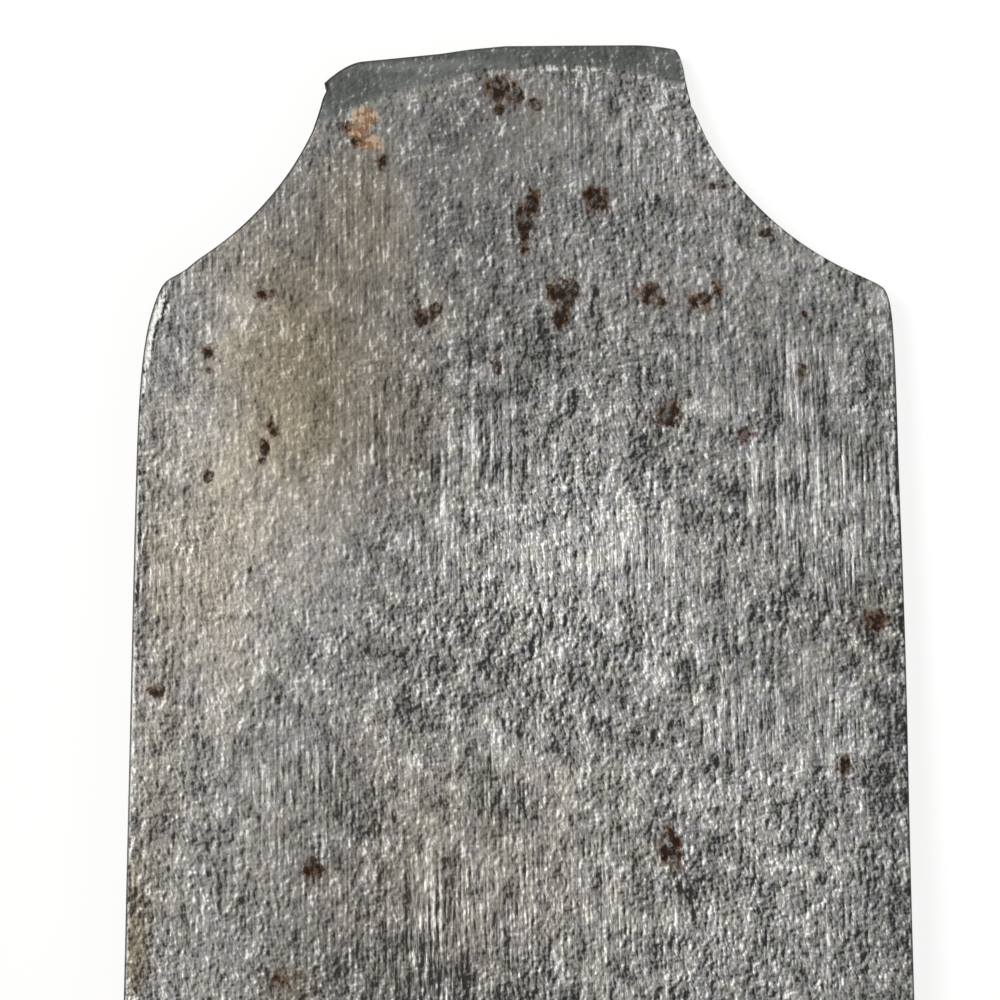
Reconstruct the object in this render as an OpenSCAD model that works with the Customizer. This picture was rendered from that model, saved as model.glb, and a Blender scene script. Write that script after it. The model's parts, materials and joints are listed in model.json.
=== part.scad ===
// Wooden jack plane taken down for honing: the stock stands on its sole with the
// wedge back in its throat, and the double iron lies beside it on the same surface.
// Millimetres. Origin at the middle of the sole, +X to the toe, +Z up.

/* [Stock] */
// Length of the stock from heel to toe
stock_l = 406; // [380:1:440]
// Width of the stock
stock_w = 72; // [68:0.5:80]
// Height of the stock from sole to top
stock_h = 66; // [60:0.5:72]
// Distance from the toe back to the foot of the bed
toe_to_bed = 138; // [128:1:150]
// Pitch of the bed above the sole, in degrees
bed_pitch = 45; // [43:0.5:50]
// Width of the chamfer along the top edges
chamfer_w = 6; // [3:0.5:7]
// Height above the sole at which the corner chamfers stop
chamfer_stop_h = 15; // [10:1:25]
// Radius of the gouge cut that stops each corner chamfer
stop_gouge_r = 8.5; // [7:0.5:12]

/* [Throat] */
// Opening of the mouth in the sole, from the foot of the bed forward
mouth_l = 8; // [7.5:0.1:10]
// Height of the wear, the steep wall just above the mouth
wear_h = 20; // [14:1:26]
// Lean of the wear back towards the bed, in degrees
wear_lean = 9; // [4:0.5:12]
// Lean of the breast towards the toe above the wear, in degrees
breast_lean = 13; // [8:0.5:20]
// Width of each abutment at the top of the stock
abutment_w = 5.5; // [4:0.5:7]
// Height above the sole at which the abutments have run out
abutment_foot_h = 15; // [10:1:20]
// Play on each side of the iron in its seat
iron_side_play = 0.8; // [0.5:0.1:1]
// Distance up the bed at which the groove for the screw head starts
bed_groove_low = 34; // [28:1:44]
// Play on each side of the screw head in that groove
bed_groove_play = 2; // [1:0.5:3]

/* [Wedge] */
// Length of the wedge
wedge_l = 150; // [135:1:160]
// Angle between the two broad faces of the wedge, in degrees
wedge_angle = 9; // [8:0.25:10]
// Thickness of the wedge at its tips
wedge_tip_t = 2; // [1.5:0.1:2.5]
// Play on each side of the wedge in its seat
wedge_side_play = 0.7; // [0.5:0.1:1]
// Length of the notch between the legs of the wedge
wedge_notch_l = 74; // [68:1:80]
// Distance up the bed at which the tips stand when the plane is set
wedge_tip_up = 25; // [20:1:30]
// Height over which the head of the wedge is rounded, seen on its face
wedge_head_round = 14; // [10:1:20]
// Play of the notch on each side of the boss of the cap iron
wedge_notch_play = 2.5; // [2:0.5:4]

/* [Tote] */
// Distance from the heel to the back of the tote
heel_to_tote = 17; // [12:1:24]
// Thickness of the tote
tote_t = 25; // [22:0.5:28]
// Length of the foot of the tote
tote_foot_l = 103; // [97:1:112]
// Height of the tote above the stock
tote_h = 83; // [78:1:90]
// Depth of the mortise that the foot of the tote sits in
tote_mortise_d = 10; // [8:0.5:12]
// Play round the foot of the tote in its mortise
tote_play = 0.1; // [0.05:0.05:0.2]
// Diameter of the head of the tote screw
tote_screw_head_d = 9; // [8:0.5:10]
// Diameter of the shank of the tote screw
tote_screw_d = 4.5; // [4:0.1:5]
// Length of the tote screw
tote_screw_l = 32; // [28:1:36]
// Distance from the front of the foot back to the tote screw
tote_screw_back = 12; // [10:1:14]

/* [Start] */
// Diameter of the start, the striking button
start_d = 22; // [18:0.5:26]
// Depth of the start in the stock
start_depth = 16; // [12:1:20]
// Height of the crown of the start above the stock
start_crown_h = 4; // [2:0.5:5]
// Distance from the toe to the middle of the start
toe_to_start = 52; // [40:1:60]

/* [Cutting iron] */
// Length of the cutting iron from its edge to its struck end
iron_l = 190; // [182:1:200]
// Width of the cutting iron at its edge
iron_w = 54; // [50:0.5:56]
// Width of the cutting iron at its shoulders
iron_shoulder_w = 51.8; // [49:0.1:52]
// Thickness of the cutting iron at its edge
iron_edge_t = 4.4; // [3.8:0.1:5]
// Thickness of the cutting iron at its struck end
iron_end_t = 2.6; // [2.2:0.1:3.2]
// Angle of the ground bevel, in degrees
bevel_angle = 28; // [25:0.5:32]
// Radius of the hollow cut in each shoulder
shoulder_r = 21.3; // [19:0.1:23]
// Distance from the middle line to the centre of each shoulder hollow
shoulder_out = 33; // [32:0.1:34]
// Distance past the struck end to the centre of each shoulder hollow
shoulder_past = 2.2; // [1.5:0.1:4]
// Shift of the struck end towards the stock
shoulder_shift = 0.45; // [0:0.05:1]
// Width of the slot for the cap screw
slot_w = 11.2; // [10.5:0.1:12]
// Distance from the edge to the lower end of the slot
slot_low = 48; // [44:1:52]
// Distance from the edge to the middle of the keyhole that ends the slot
keyhole_up = 106; // [104:1:110]
// Diameter of the keyhole that lets the head of the cap screw through
keyhole_d = 23; // [22.5:0.1:24]
// Length of the cast-steel plate welded on the face at the edge
steel_l = 92; // [80:1:96]
// Thickness of the cast-steel plate
steel_t = 1.3; // [1:0.1:1.6]
// Depth of the bevel round the struck end
struck_bevel = 1.3; // [0.8:0.1:1.5]
// Radius of the curve that the struck bevel follows on the face
struck_curve_r = 60; // [50:1:80]

/* [Cap iron] */
// Length of the cap iron
cap_l = 120.5; // [118:0.5:122]
// Width of the cap iron
cap_w = 53.2; // [49:0.1:54]
// Thickness of the cap iron
cap_t = 2.8; // [2.4:0.1:3.4]
// Distance of the lip of the cap iron back from the cutting edge
cap_setback = 1.5; // [0.5:0.1:2]
// Length of the hump behind the lip
hump_l = 28; // [24:1:32]
// Height of the hollow under the hump
hump_h = 1.6; // [1.2:0.1:2]
// Distance from the lip to the middle of the cap screw
lip_to_screw = 59; // [56:1:61]
// Diameter of the boss that the cap screw turns in
boss_d = 19; // [17:0.5:21]
// Height of the boss above the cap iron
boss_h = 5; // [4:0.5:6]
// Diameter of the spigot that rivets the boss to the cap iron
spigot_d = 14; // [13:0.5:15]

/* [Cap screw] */
// Diameter of the shank of the cap screw
screw_d = 9.5; // [9:0.1:10]
// Diameter of the head of the cap screw
screw_head_d = 21; // [20:0.5:22]
// Thickness of the head of the cap screw
screw_head_t = 3.2; // [2.8:0.1:3.6]
// Width of the driver slot in the head
driver_slot_w = 2; // [1.5:0.1:2.5]
// Running play round the shank in the boss
screw_play = 0.05; // [0.03:0.01:0.09]

/* [Layout] */
// Gap between the side of the stock and the double iron on the bench
iron_aside = 45; // [35:1:60]

/* [Hidden] */
$fn = 64;

beech = [0.46, 0.29, 0.16];
dark_beech = [0.38, 0.23, 0.12];
boxwood = [0.66, 0.47, 0.25];
old_iron = [0.42, 0.41, 0.40];
bright_steel = [0.58, 0.58, 0.57];

// Reach of the cutting tools past the faces that they go through
past = 10;

// The bed meets the sole here. Along the bed, s runs up from the sole and n
// stands square to it, towards the toe.
bed_x = stock_l / 2 - toe_to_bed;
bed_l = stock_h / sin(bed_pitch);
seat_w = iron_w + 2 * iron_side_play;
wedge_w = seat_w - 2 * wedge_side_play;
iron_taper = atan((iron_edge_t - iron_end_t) / iron_l);

// The abutments face the front of the wedge as it stands with both irons in
abutment_angle = wedge_angle - iron_taper;
set_stack = iron_edge_t + cap_t - wedge_tip_up * tan(iron_taper);
abutment_n0 = set_stack + wedge_tip_t - wedge_tip_up * tan(abutment_angle);

// The breast, from the mouth up
wear_x = bed_x + mouth_l - wear_h * tan(wear_lean);
breast_x = wear_x + (stock_h - wear_h) * tan(breast_lean);

// The groove in the bed clears the head of the cap screw
bed_groove_w = screw_head_d + 2 * bed_groove_play;
bed_groove_d = screw_head_t + 1;

// The wedge rests in the empty throat, its tips just clear of the bench
wedge_rest_up = 0.4;
wedge_nose = 5;

// Tote, measured from the back of its foot and the top of the stock
tote_x = -stock_l / 2 + heel_to_tote;
tote_screw_x = tote_foot_l - tote_screw_back;
// Top of the tote screw's head, which stays at one share of the tote's height
tote_screw_head_z = 0.1084 * tote_h;
tote_screw_head_t = 2.6;
tote_screw_slot_w = 1.4;
tote_screw_slot_d = 1.2;
pilot_play = 0.05;

// The start
start_x = stock_l / 2 - toe_to_start;
start_play = 0.05;
start_rim_h = 0.6;

// The iron keeps its width up to here, below its struck end
shoulder_drop = 17;

// Cap iron and cap screw, measured along the face of the cutting iron
screw_x = cap_setback + lip_to_screw;
screw_seat_gap = 0.15;
cap_seat_gap = 0.02;
iron_t_at_screw = iron_edge_t - screw_x * sin(iron_taper);
head_seat_z = -iron_t_at_screw - screw_seat_gap;
boss_play = 0.03;
cap_lip_t = 0.3;
cap_end_r = 9;
screw_tip_short = 0.4;
driver_slot_d = 1.5;

// The double iron lies on the rim of the screw head and on its struck end
rim_x = screw_x + screw_head_d / 2;
rim_z = head_seat_z - screw_head_t;
rim_s = rim_x * cos(iron_taper) + rim_z * sin(iron_taper);
rim_n = iron_edge_t - rim_x * sin(iron_taper) + rim_z * cos(iron_taper);
iron_tilt = atan(-rim_n / (iron_l - rim_s));
iron_y = -stock_w / 2 - iron_aside - iron_w / 2;
iron_x = -iron_l / 2;
iron_z = iron_l * sin(iron_tilt);

// A quadratic curve from a to c that leaves and arrives along the lines through b
function curve2(a, b, c, n) =
    [for (i = [0 : n]) let (t = i / n)
        (1 - t) * (1 - t) * a + 2 * t * (1 - t) * b + t * t * c];

// A cubic curve that also carries a third value, the edge radius, from a to d
function curve3(a, b, c, d, n) =
    [for (i = [0 : n - 1]) let (t = i / n, u = 1 - t)
        u * u * u * a + 3 * t * u * u * b + 3 * t * t * u * c + t * t * t * d];

function arc(centre, r, from, to, n) =
    [for (i = [0 : n]) let (a = from + (to - from) * i / n)
        centre + r * [cos(a), sin(a)]];

// Half width of the cutting iron at distance s from its edge
function iron_half_w(s) =
    (iron_w + (iron_shoulder_w - iron_w) * s / (iron_l - shoulder_drop)) / 2;

// One side of the iron's outline, from the struck end to the edge. side is 1
// towards the stock, or -1. The shoulder corner is rubbed round.
function iron_side(side) =
    let (out = shoulder_out + side * shoulder_shift,
         centre = [iron_l + shoulder_past, out],
         reach = out - iron_half_w(iron_l - shoulder_drop),
         start = 180 + acos(shoulder_past / shoulder_r),
         stop = 180 + asin(reach / shoulder_r),
         hollow = arc(centre, shoulder_r, start, stop + 6, 16),
         corner = centre + shoulder_r * [cos(stop), sin(stop)],
         below = [corner[0] - 3.5, iron_half_w(corner[0] - 3.5)],
         rubbed = curve2(hollow[16], corner, below, 6))
    [for (p = concat(hollow, [for (i = [1 : 6]) rubbed[i]], [[0, iron_w / 2]]))
        [p[0], side * p[1]]];

function reversed(list) = [for (i = [len(list) - 1 : -1 : 0]) list[i]];

// Places children in the bed's own s, y, n frame
module on_bed() {
    translate([bed_x, 0, 0]) rotate([0, -bed_pitch, 180]) children();
}

// Places children in the cutting iron's own frame: s from the edge, n up from its back
module on_bench() {
    translate([iron_x, iron_y, iron_z]) rotate([0, iron_tilt, 0]) children();
}

// Places children on the iron's face, which the taper tilts
module on_face() {
    on_bench() translate([0, 0, iron_edge_t]) rotate([0, iron_taper, 0]) children();
}

// Places children a hair above the iron's face, where the cap iron slides
module on_cap_seat() {
    on_face() translate([0, 0, cap_seat_gap]) children();
}

// A flat shape drawn in x and z, given the width w across y
module across(w) {
    rotate([90, 0, 0]) linear_extrude(height = w, center = true) children();
}

// The outside of the stock, chamfered along its top and across its ends
module stock_block() {
    c = chamfer_w;
    intersection() {
        rotate([90, 0, 90]) linear_extrude(height = stock_l, center = true)
            polygon([[-stock_w / 2, 0], [stock_w / 2, 0],
                     [stock_w / 2, stock_h - c], [stock_w / 2 - c, stock_h],
                     [c - stock_w / 2, stock_h], [-stock_w / 2, stock_h - c]]);
        across(stock_w + past)
            polygon([[-stock_l / 2, 0], [stock_l / 2, 0],
                     [stock_l / 2, stock_h - c], [stock_l / 2 - c, stock_h],
                     [c - stock_l / 2, stock_h], [-stock_l / 2, stock_h - c]]);
    }
}

// The chamfer down one upright corner, with the gouge cut that stops it. x points
// out of the corner, along its diagonal.
module corner_chamfer() {
    depth = chamfer_w / sqrt(2);
    translate([-depth, -chamfer_w, chamfer_stop_h + stop_gouge_r])
        cube([2 * chamfer_w, 2 * chamfer_w, stock_h]);
    translate([stop_gouge_r - depth, 0, chamfer_stop_h + stop_gouge_r])
        rotate([90, 0, 0]) cylinder(r = stop_gouge_r, h = 2 * chamfer_w, center = true);
}

// One abutment, from the face that the wedge bears on forward to the breast. It runs
// out to nothing at its foot, and on into the stock at its side.
module abutment(side) {
    reach = bed_l + 3 * past;
    slope = tan(abutment_angle);
    edge = side * (seat_w / 2 - abutment_w);
    wall = side * seat_w / 2;
    lean = (edge - wall) / (stock_h - abutment_foot_h);
    intersection() {
        on_bed() across(2 * stock_w)
            polygon([[-past, abutment_n0 - past * slope], [reach, abutment_n0 + reach * slope],
                     [reach, 2 * reach], [-past, 2 * reach]]);
        rotate([90, 0, 90]) linear_extrude(height = stock_l, center = true)
            polygon([[wall, abutment_foot_h], [edge + lean * 2 * past, stock_h + 2 * past],
                     [wall + side * past, stock_h + 2 * past], [wall + side * past, abutment_foot_h]]);
    }
}

module throat() {
    top = stock_h + past;
    difference() {
        across(seat_w)
            polygon([[bed_x, -past], [bed_x + mouth_l, -past], [bed_x + mouth_l, 0],
                     [wear_x, wear_h], [breast_x + past * tan(breast_lean), top],
                     [bed_x - top / tan(bed_pitch), top], [bed_x, 0]]);
        abutment(1);
        abutment(-1);
    }
    // The groove in the bed for the head of the cap screw
    on_bed() translate([bed_groove_low + bed_groove_w / 2, 0, -bed_groove_d]) {
        cylinder(d = bed_groove_w, h = bed_groove_d + 1);
        translate([0, -bed_groove_w / 2, 0])
            cube([bed_l, bed_groove_w, bed_groove_d + 1]);
    }
}

module tote_mortise() {
    translate([tote_x - tote_play, -tote_t / 2 - tote_play, stock_h - tote_mortise_d])
        cube([tote_foot_l + 2 * tote_play, tote_t + 2 * tote_play, tote_mortise_d + 1]);
}

module stock() {
    color(beech) difference() {
        stock_block();
        for (x = [-1, 1], y = [-1, 1])
            translate([x * stock_l / 2, y * stock_w / 2, 0])
                rotate([0, 0, atan2(y, x)]) corner_chamfer();
        throat();
        tote_mortise();
        on_tote() tote_screw_hole(tote_screw_d / 2 + pilot_play);
        translate([start_x, 0, stock_h - start_depth])
            cylinder(d = start_d + 2 * start_play, h = start_depth + 1);
    }
}

// Places children at the back of the tote's foot on the top of the stock
module on_tote() {
    translate([tote_x, 0, stock_h]) children();
}

// Turns points given in hundredths of the tote's length, height and thickness into millimetres
function stretched(points) =
    [for (p = points) [p[0] * tote_foot_l / 100, p[1] * tote_h / 100, p[2] * tote_t / 100]];

// The part of the tote that stands in the mortise, at distance x from its back
function tote_root(x) = [[x, -tote_mortise_d, 0.6], [x, -tote_mortise_d / 2, 0.8]];

// The tote's outline in two chains of equal length, from the bottom of its foot to the
// middle of its top. The third value of each point rounds the edge of the tote there.
function tote_back() = concat(tote_root(0), stretched(concat(
    curve3([0, 0, 4], [0, 6, 8], [2.9, 9.6, 12], [8.7, 11.4, 14], 5),
    curve3([8.7, 11.4, 14], [17.5, 14.5, 20], [21.4, 21.7, 32], [24.3, 32.5, 40], 7),
    curve3([24.3, 32.5, 40], [27.2, 43.4, 40], [33, 53, 40], [31.1, 63.9, 34], 7),
    curve3([31.1, 63.9, 34], [28.2, 74.7, 28], [18.4, 78.3, 20], [8.7, 81.9, 13.6], 7),
    curve3([8.7, 81.9, 13.6], [2.9, 84.3, 12], [2.9, 91.6, 12], [8.7, 92.2, 13.6], 5),
    curve3([8.7, 92.2, 13.6], [17.5, 92.8, 20], [27.2, 96.4, 24], [36.9, 98.2, 28], 4),
    [[36.9, 98.2, 28]])));

function tote_front() = concat(tote_root(tote_foot_l), stretched(concat(
    curve3([100, 0, 4], [100, 7.2, 8], [98.1, 11.4, 10], [93.2, 12.7, 12], 5),
    curve3([93.2, 12.7, 12], [85.4, 13.9, 14], [75.7, 14.5, 20], [69.9, 21.7, 28], 7),
    curve3([69.9, 21.7, 28], [62.1, 30.1, 36], [62.1, 43.4, 40], [65, 55.4, 40], 7),
    curve3([65, 55.4, 40], [68, 67.5, 36], [74.8, 72.3, 28], [76.7, 81.9, 24], 7),
    curve3([76.7, 81.9, 24], [78.6, 91.6, 24], [69.9, 99.4, 26], [60.2, 100, 28], 5),
    curve3([60.2, 100, 28], [52.4, 100.5, 28], [44.7, 99.6, 28], [36.9, 98.2, 28], 4),
    [[37.9, 98.3, 28]])));

// Moves point i of a closed clockwise outline square to itself, inwards by d
function inset(points, i, d) =
    let (n = len(points),
         before = points[(i + n - 1) % n],
         after = points[(i + 1) % n],
         run = [after[0] - before[0], after[1] - before[1]],
         square = [run[1], -run[0]] / norm(run))
    [points[i][0] + d * square[0], points[i][1] + d * square[1]];

// The tote's solid: its outline at several levels across, drawn in round each edge.
// Each flat side is a ladder of four-sided faces between the two chains.
module rounded_tote() {
    outline = concat(tote_back(), reversed(tote_front()));
    n = len(outline);
    steps = 5;
    levels = concat([for (k = [steps : -1 : 0]) [-1, 90 * k / steps]],
                    [for (k = [0 : steps]) [1, 90 * k / steps]]);
    points = [for (level = levels, i = [0 : n - 1])
        let (r = outline[i][2],
             p = inset(outline, i, r * (1 - cos(level[1]))))
        [p[0], level[0] * (tote_t / 2 - r + r * sin(level[1])), p[1]]];
    last = (len(levels) - 1) * n;
    faces = concat(
        [for (i = [0 : n / 2 - 2]) [i, i + 1, n - 2 - i, n - 1 - i]],
        [for (k = [0 : len(levels) - 2], i = [0 : n - 1]) let (j = (i + 1) % n)
            [k * n + i, (k + 1) * n + i, (k + 1) * n + j, k * n + j]],
        [for (i = [0 : n / 2 - 2])
            [last + n - 1 - i, last + n - 2 - i, last + i + 1, last + i]]);
    polyhedron(points, faces, convexity = 4);
}

module tote_screw_hole(r) {
    translate([tote_screw_x, 0, tote_screw_head_z - tote_screw_l - 1])
        cylinder(r = r, h = tote_screw_l + 2);
}

module tote() {
    color(dark_beech) on_tote() difference() {
        rounded_tote();
        tote_screw_hole(tote_screw_d / 2 + pilot_play);
        translate([tote_screw_x, 0, tote_screw_head_z - tote_screw_head_t])
            cylinder(d = tote_screw_head_d + 2 * pilot_play, h = tote_mortise_d);
    }
}

module tote_screw() {
    color(old_iron) on_tote() translate([tote_screw_x, 0, tote_screw_head_z])
        difference() {
            rotate_extrude()
                polygon([[0, 0], [tote_screw_head_d / 2, 0],
                         [tote_screw_head_d / 2, -tote_screw_head_t],
                         [tote_screw_d / 2, -tote_screw_head_t],
                         [tote_screw_d / 2, -tote_screw_l + 2 * tote_screw_d],
                         [0.4, -tote_screw_l], [0, -tote_screw_l]]);
            cube([tote_screw_head_d + 2, tote_screw_slot_w, 2 * tote_screw_slot_d], center = true);
        }
}

module start_button() {
    rise = start_crown_h - start_rim_h;
    crown_r = (pow(start_d / 2, 2) + rise * rise) / (2 * rise);
    spread = asin(start_d / 2 / crown_r);
    color(boxwood) translate([start_x, 0, stock_h]) rotate_extrude()
        polygon(concat([[0, -start_depth], [start_d / 2, -start_depth]],
                       arc([0, start_crown_h - crown_r], crown_r, 90 - spread, 90, 8)));
}

// Wedge, in the bed's frame with its tips at s = 0
module wedge_blank() {
    head_t = wedge_tip_t + wedge_l * tan(wedge_angle);
    near_head = wedge_l - 2 * wedge_nose;
    half = wedge_w / 2;
    low = wedge_l - wedge_head_round;
    intersection() {
        across(wedge_w + 2)
            polygon(concat([[0, 0], [wedge_l, 0]],
                           curve2([wedge_l, 0], [wedge_l + wedge_nose, head_t],
                                  [near_head, wedge_tip_t + near_head * tan(wedge_angle)], 8),
                           [[0, wedge_tip_t]]));
        // Seen on its face the head is drawn in at its corners
        linear_extrude(height = head_t + 2)
            polygon(concat([[-1, -half]],
                           curve2([low, -half], [wedge_l + 1, -half], [wedge_l + 2, 0], 8),
                           curve2([wedge_l + 2, 0], [wedge_l + 1, half], [low, half], 8),
                           [[-1, half]]));
    }
}

module wedge() {
    notch_w = boss_d + 2 * wedge_notch_play;
    color(dark_beech) on_bed() translate([wedge_rest_up, 0, 0]) difference() {
        wedge_blank();
        // The notch clears the boss of the cap iron
        translate([wedge_notch_l - notch_w / 2, 0, -1]) {
            cylinder(d = notch_w, h = wedge_l);
            translate([-wedge_l, -notch_w / 2, 0]) cube([wedge_l, notch_w, wedge_l]);
        }
    }
}

// The whole blade, tapering in thickness, before the steel is let in
module iron_blade() {
    intersection() {
        across(iron_w + 2)
            polygon([[0, iron_edge_t], [iron_edge_t / tan(bevel_angle), 0],
                     [iron_l, 0], [iron_l, iron_end_t]]);
        translate([0, 0, -1]) linear_extrude(height = iron_edge_t + 2)
            polygon(concat(iron_side(1), reversed(iron_side(-1))));
    }
}

// What the struck end loses: all that lies outside a wide cone
module struck_end_cut() {
    low = iron_end_t - struck_bevel;
    foot_r = struck_curve_r + struck_bevel + 1;
    difference() {
        translate([iron_l - past, -iron_w / 2, low]) cube([2 * past, iron_w, past]);
        translate([iron_l - struck_bevel - struck_curve_r, 0, low - 1])
            cylinder(r1 = foot_r, r2 = foot_r - past, h = past, $fn = 256);
    }
}

module cap_screw_slot() {
    radius = slot_w / 2;
    translate([slot_low + radius, 0, -1]) {
        cylinder(r = radius, h = iron_edge_t + 2);
        translate([0, -radius, 0]) cube([keyhole_up - slot_low - radius, slot_w, iron_edge_t + 2]);
    }
    translate([keyhole_up, 0, -1]) cylinder(d = keyhole_d, h = iron_edge_t + 2);
}

// The room that the steel plate takes, level with the face
module steel_room() {
    translate([0, 0, iron_edge_t]) rotate([0, iron_taper, 0])
        translate([-past, -iron_w, -steel_t]) cube([past + steel_l, 2 * iron_w, past]);
}

module cutting_iron() {
    color(old_iron) on_bench() difference() {
        iron_blade();
        struck_end_cut();
        cap_screw_slot();
        steel_room();
    }
}

module steel_face() {
    color(bright_steel) on_bench() difference() {
        intersection() {
            iron_blade();
            steel_room();
        }
        cap_screw_slot();
    }
}

// Cap iron, along the face from its lip. The hump springs so that only the lip bears.
module cap_plate() {
    top = cap_t + hump_h;
    crest = 0.4 * hump_l;
    half = cap_w / 2;
    round_x = cap_l - cap_end_r;
    round_y = half - 1.6 * cap_end_r;
    intersection() {
        across(iron_w + 2)
            polygon(concat(curve2([0, cap_lip_t], [0.12 * hump_l, top], [crest, top], 7),
                           curve2([crest, top], [0.75 * hump_l, top], [hump_l, cap_t], 8),
                           [[cap_l, cap_t], [cap_l, 0]],
                           reversed(curve2([0.5, 0], [crest, 2 * hump_h], [hump_l, 0], 10)),
                           [[0, 0]]));
        linear_extrude(height = 3 * top, center = true)
            polygon(concat([[-1, -half]],
                           curve2([round_x, -half], [cap_l, -half], [cap_l, -round_y], 8),
                           curve2([cap_l, round_y], [cap_l, half], [round_x, half], 8),
                           [[-1, half]]));
    }
}

module cap_iron() {
    color(old_iron) on_cap_seat() translate([cap_setback, 0, 0]) difference() {
        cap_plate();
        translate([lip_to_screw, 0, -1]) cylinder(d = spigot_d, h = cap_t + 2);
    }
}

module cap_boss() {
    edge = 0.8;
    color(old_iron) on_cap_seat() translate([screw_x, 0, 0]) difference() {
        rotate_extrude()
            polygon([[0, 0], [spigot_d / 2 - boss_play, 0], [spigot_d / 2 - boss_play, cap_t],
                     [boss_d / 2, cap_t], [boss_d / 2, cap_t + boss_h - edge],
                     [boss_d / 2 - edge, cap_t + boss_h], [0, cap_t + boss_h]]);
        translate([0, 0, -1]) cylinder(d = screw_d + 2 * screw_play, h = cap_t + boss_h + 2);
    }
}

module cap_screw() {
    edge = 0.6;
    tip = cap_t + boss_h - screw_tip_short;
    color(old_iron) on_face() translate([screw_x, 0, 0]) difference() {
        rotate_extrude()
            polygon([[0, rim_z], [screw_head_d / 2, rim_z],
                     [screw_head_d / 2, head_seat_z - edge], [screw_head_d / 2 - edge, head_seat_z],
                     [screw_d / 2, head_seat_z], [screw_d / 2, tip - edge],
                     [screw_d / 2 - edge, tip], [0, tip]]);
        translate([0, 0, rim_z])
            cube([screw_head_d + 2, driver_slot_w, 2 * driver_slot_d], center = true);
    }
}

stock();
tote();
tote_screw();
start_button();
wedge();
cutting_iron();
steel_face();
cap_iron();
cap_boss();
cap_screw();
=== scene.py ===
import json
import math

import bmesh
import bpy
import numpy as np
from mathutils import Matrix, Vector, noise


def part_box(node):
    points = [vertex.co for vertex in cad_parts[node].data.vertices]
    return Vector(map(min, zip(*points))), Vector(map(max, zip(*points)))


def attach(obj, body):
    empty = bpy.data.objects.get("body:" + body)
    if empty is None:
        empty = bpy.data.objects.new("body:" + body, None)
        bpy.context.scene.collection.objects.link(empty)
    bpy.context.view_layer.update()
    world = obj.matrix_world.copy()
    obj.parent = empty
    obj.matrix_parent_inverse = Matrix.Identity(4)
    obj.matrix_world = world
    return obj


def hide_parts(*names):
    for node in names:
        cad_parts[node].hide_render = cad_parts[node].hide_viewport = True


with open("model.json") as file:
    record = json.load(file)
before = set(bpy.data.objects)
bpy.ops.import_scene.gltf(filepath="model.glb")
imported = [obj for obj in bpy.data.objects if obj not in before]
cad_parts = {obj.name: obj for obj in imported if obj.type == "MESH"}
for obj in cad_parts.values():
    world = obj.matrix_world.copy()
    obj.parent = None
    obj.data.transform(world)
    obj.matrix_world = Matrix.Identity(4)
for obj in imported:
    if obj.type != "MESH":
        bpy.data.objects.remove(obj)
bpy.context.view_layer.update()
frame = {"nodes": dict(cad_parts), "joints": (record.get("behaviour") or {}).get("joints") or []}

# The stock. One block of beech, its sole towards the bark, with the throat, the tote's
# mortise and the bore for the start cut into it. A century and a half of hands, oil and
# knocks have darkened it, rounded its arrises and bruised its edges.

MM = 0.001
# Each wood has a pale, a dark and a rubbed colour
BEECH = (0.41, 0.225, 0.090, 1), (0.22, 0.105, 0.038, 1), (0.53, 0.33, 0.155, 1)
GRIME = (0.055, 0.030, 0.014, 1)
PALMED = (0.105, 0.044, 0.017, 1)
WELD_WITHIN = 0.001 * MM
STOCK_VOXEL = 1.0 * MM
STOCK_HALF_L, STOCK_HALF_W, STOCK_H = 203.0, 36.0, 66.0
CHAMFER = 6.0


def fit(tree, kind, feeds=None, **settings):
    """Adds a shader node, with its settings, and feeds its sockets numbers or outputs."""
    node = tree.nodes.new("ShaderNode" + kind)
    for name, value in settings.items():
        setattr(node, name, value)
    for key, value in (feeds or {}).items():
        if isinstance(value, bpy.types.NodeSocket):
            tree.links.new(value, node.inputs[key])
        else:
            node.inputs[key].default_value = value
    return node


def lead(tree, sockets, values):
    """Leads each value into the socket of its name."""
    for name, value in values.items():
        tree.links.new(value, sockets[name])


def work_out(tree, operation, *values):
    """One sum on shader values: MULTIPLY, ADD, POWER and so on."""
    return fit(tree, "Math", dict(enumerate(values)), operation=operation).outputs[0]


def plus(tree, first, second):
    """The sum of two shader values."""
    return work_out(tree, "ADD", first, second)


def times(tree, value, by, more=None):
    """A shader value times another, with more added where it is given."""
    if more is None:
        return work_out(tree, "MULTIPLY", value, by)
    return work_out(tree, "MULTIPLY_ADD", value, by, more)


def spread(tree, value, low, high, to_low=0.0, to_high=1.0):
    """Maps a value from low..high smoothly to to_low..to_high."""
    feeds = {"Value": value, "From Min": low, "From Max": high, "To Min": to_low, "To Max": to_high}
    return fit(tree, "MapRange", feeds, interpolation_type="SMOOTHSTEP").outputs["Result"]


def blend(tree, share, first, second, how="MIX"):
    """Mixes two colours by a share from 0 to 1."""
    node = fit(tree, "Mix", {0: share, 6: first, 7: second}, data_type="RGBA", blend_type=how)
    return node.outputs[2]


def grains(tree, place, per_mm, detail=3.0, roughness=0.55, lean=(0, 0, 0)):
    """Noise whose grains have their own length along each axis. per_mm is grains in a millimetre."""
    at = fit(tree, "Mapping", {"Vector": place, "Location": lean, "Scale": per_mm})
    feeds = {"Vector": at.outputs[0], "Scale": 1.0, "Detail": detail, "Roughness": roughness}
    return fit(tree, "TexNoise", feeds).outputs["Fac"]


def use(tree, group, **feeds):
    """Puts a node group to use, feeds it, and returns what it gives."""
    feeds = {name.replace("_", " "): value for name, value in feeds.items()}
    return fit(tree, "Group", feeds, node_tree=group).outputs


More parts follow.
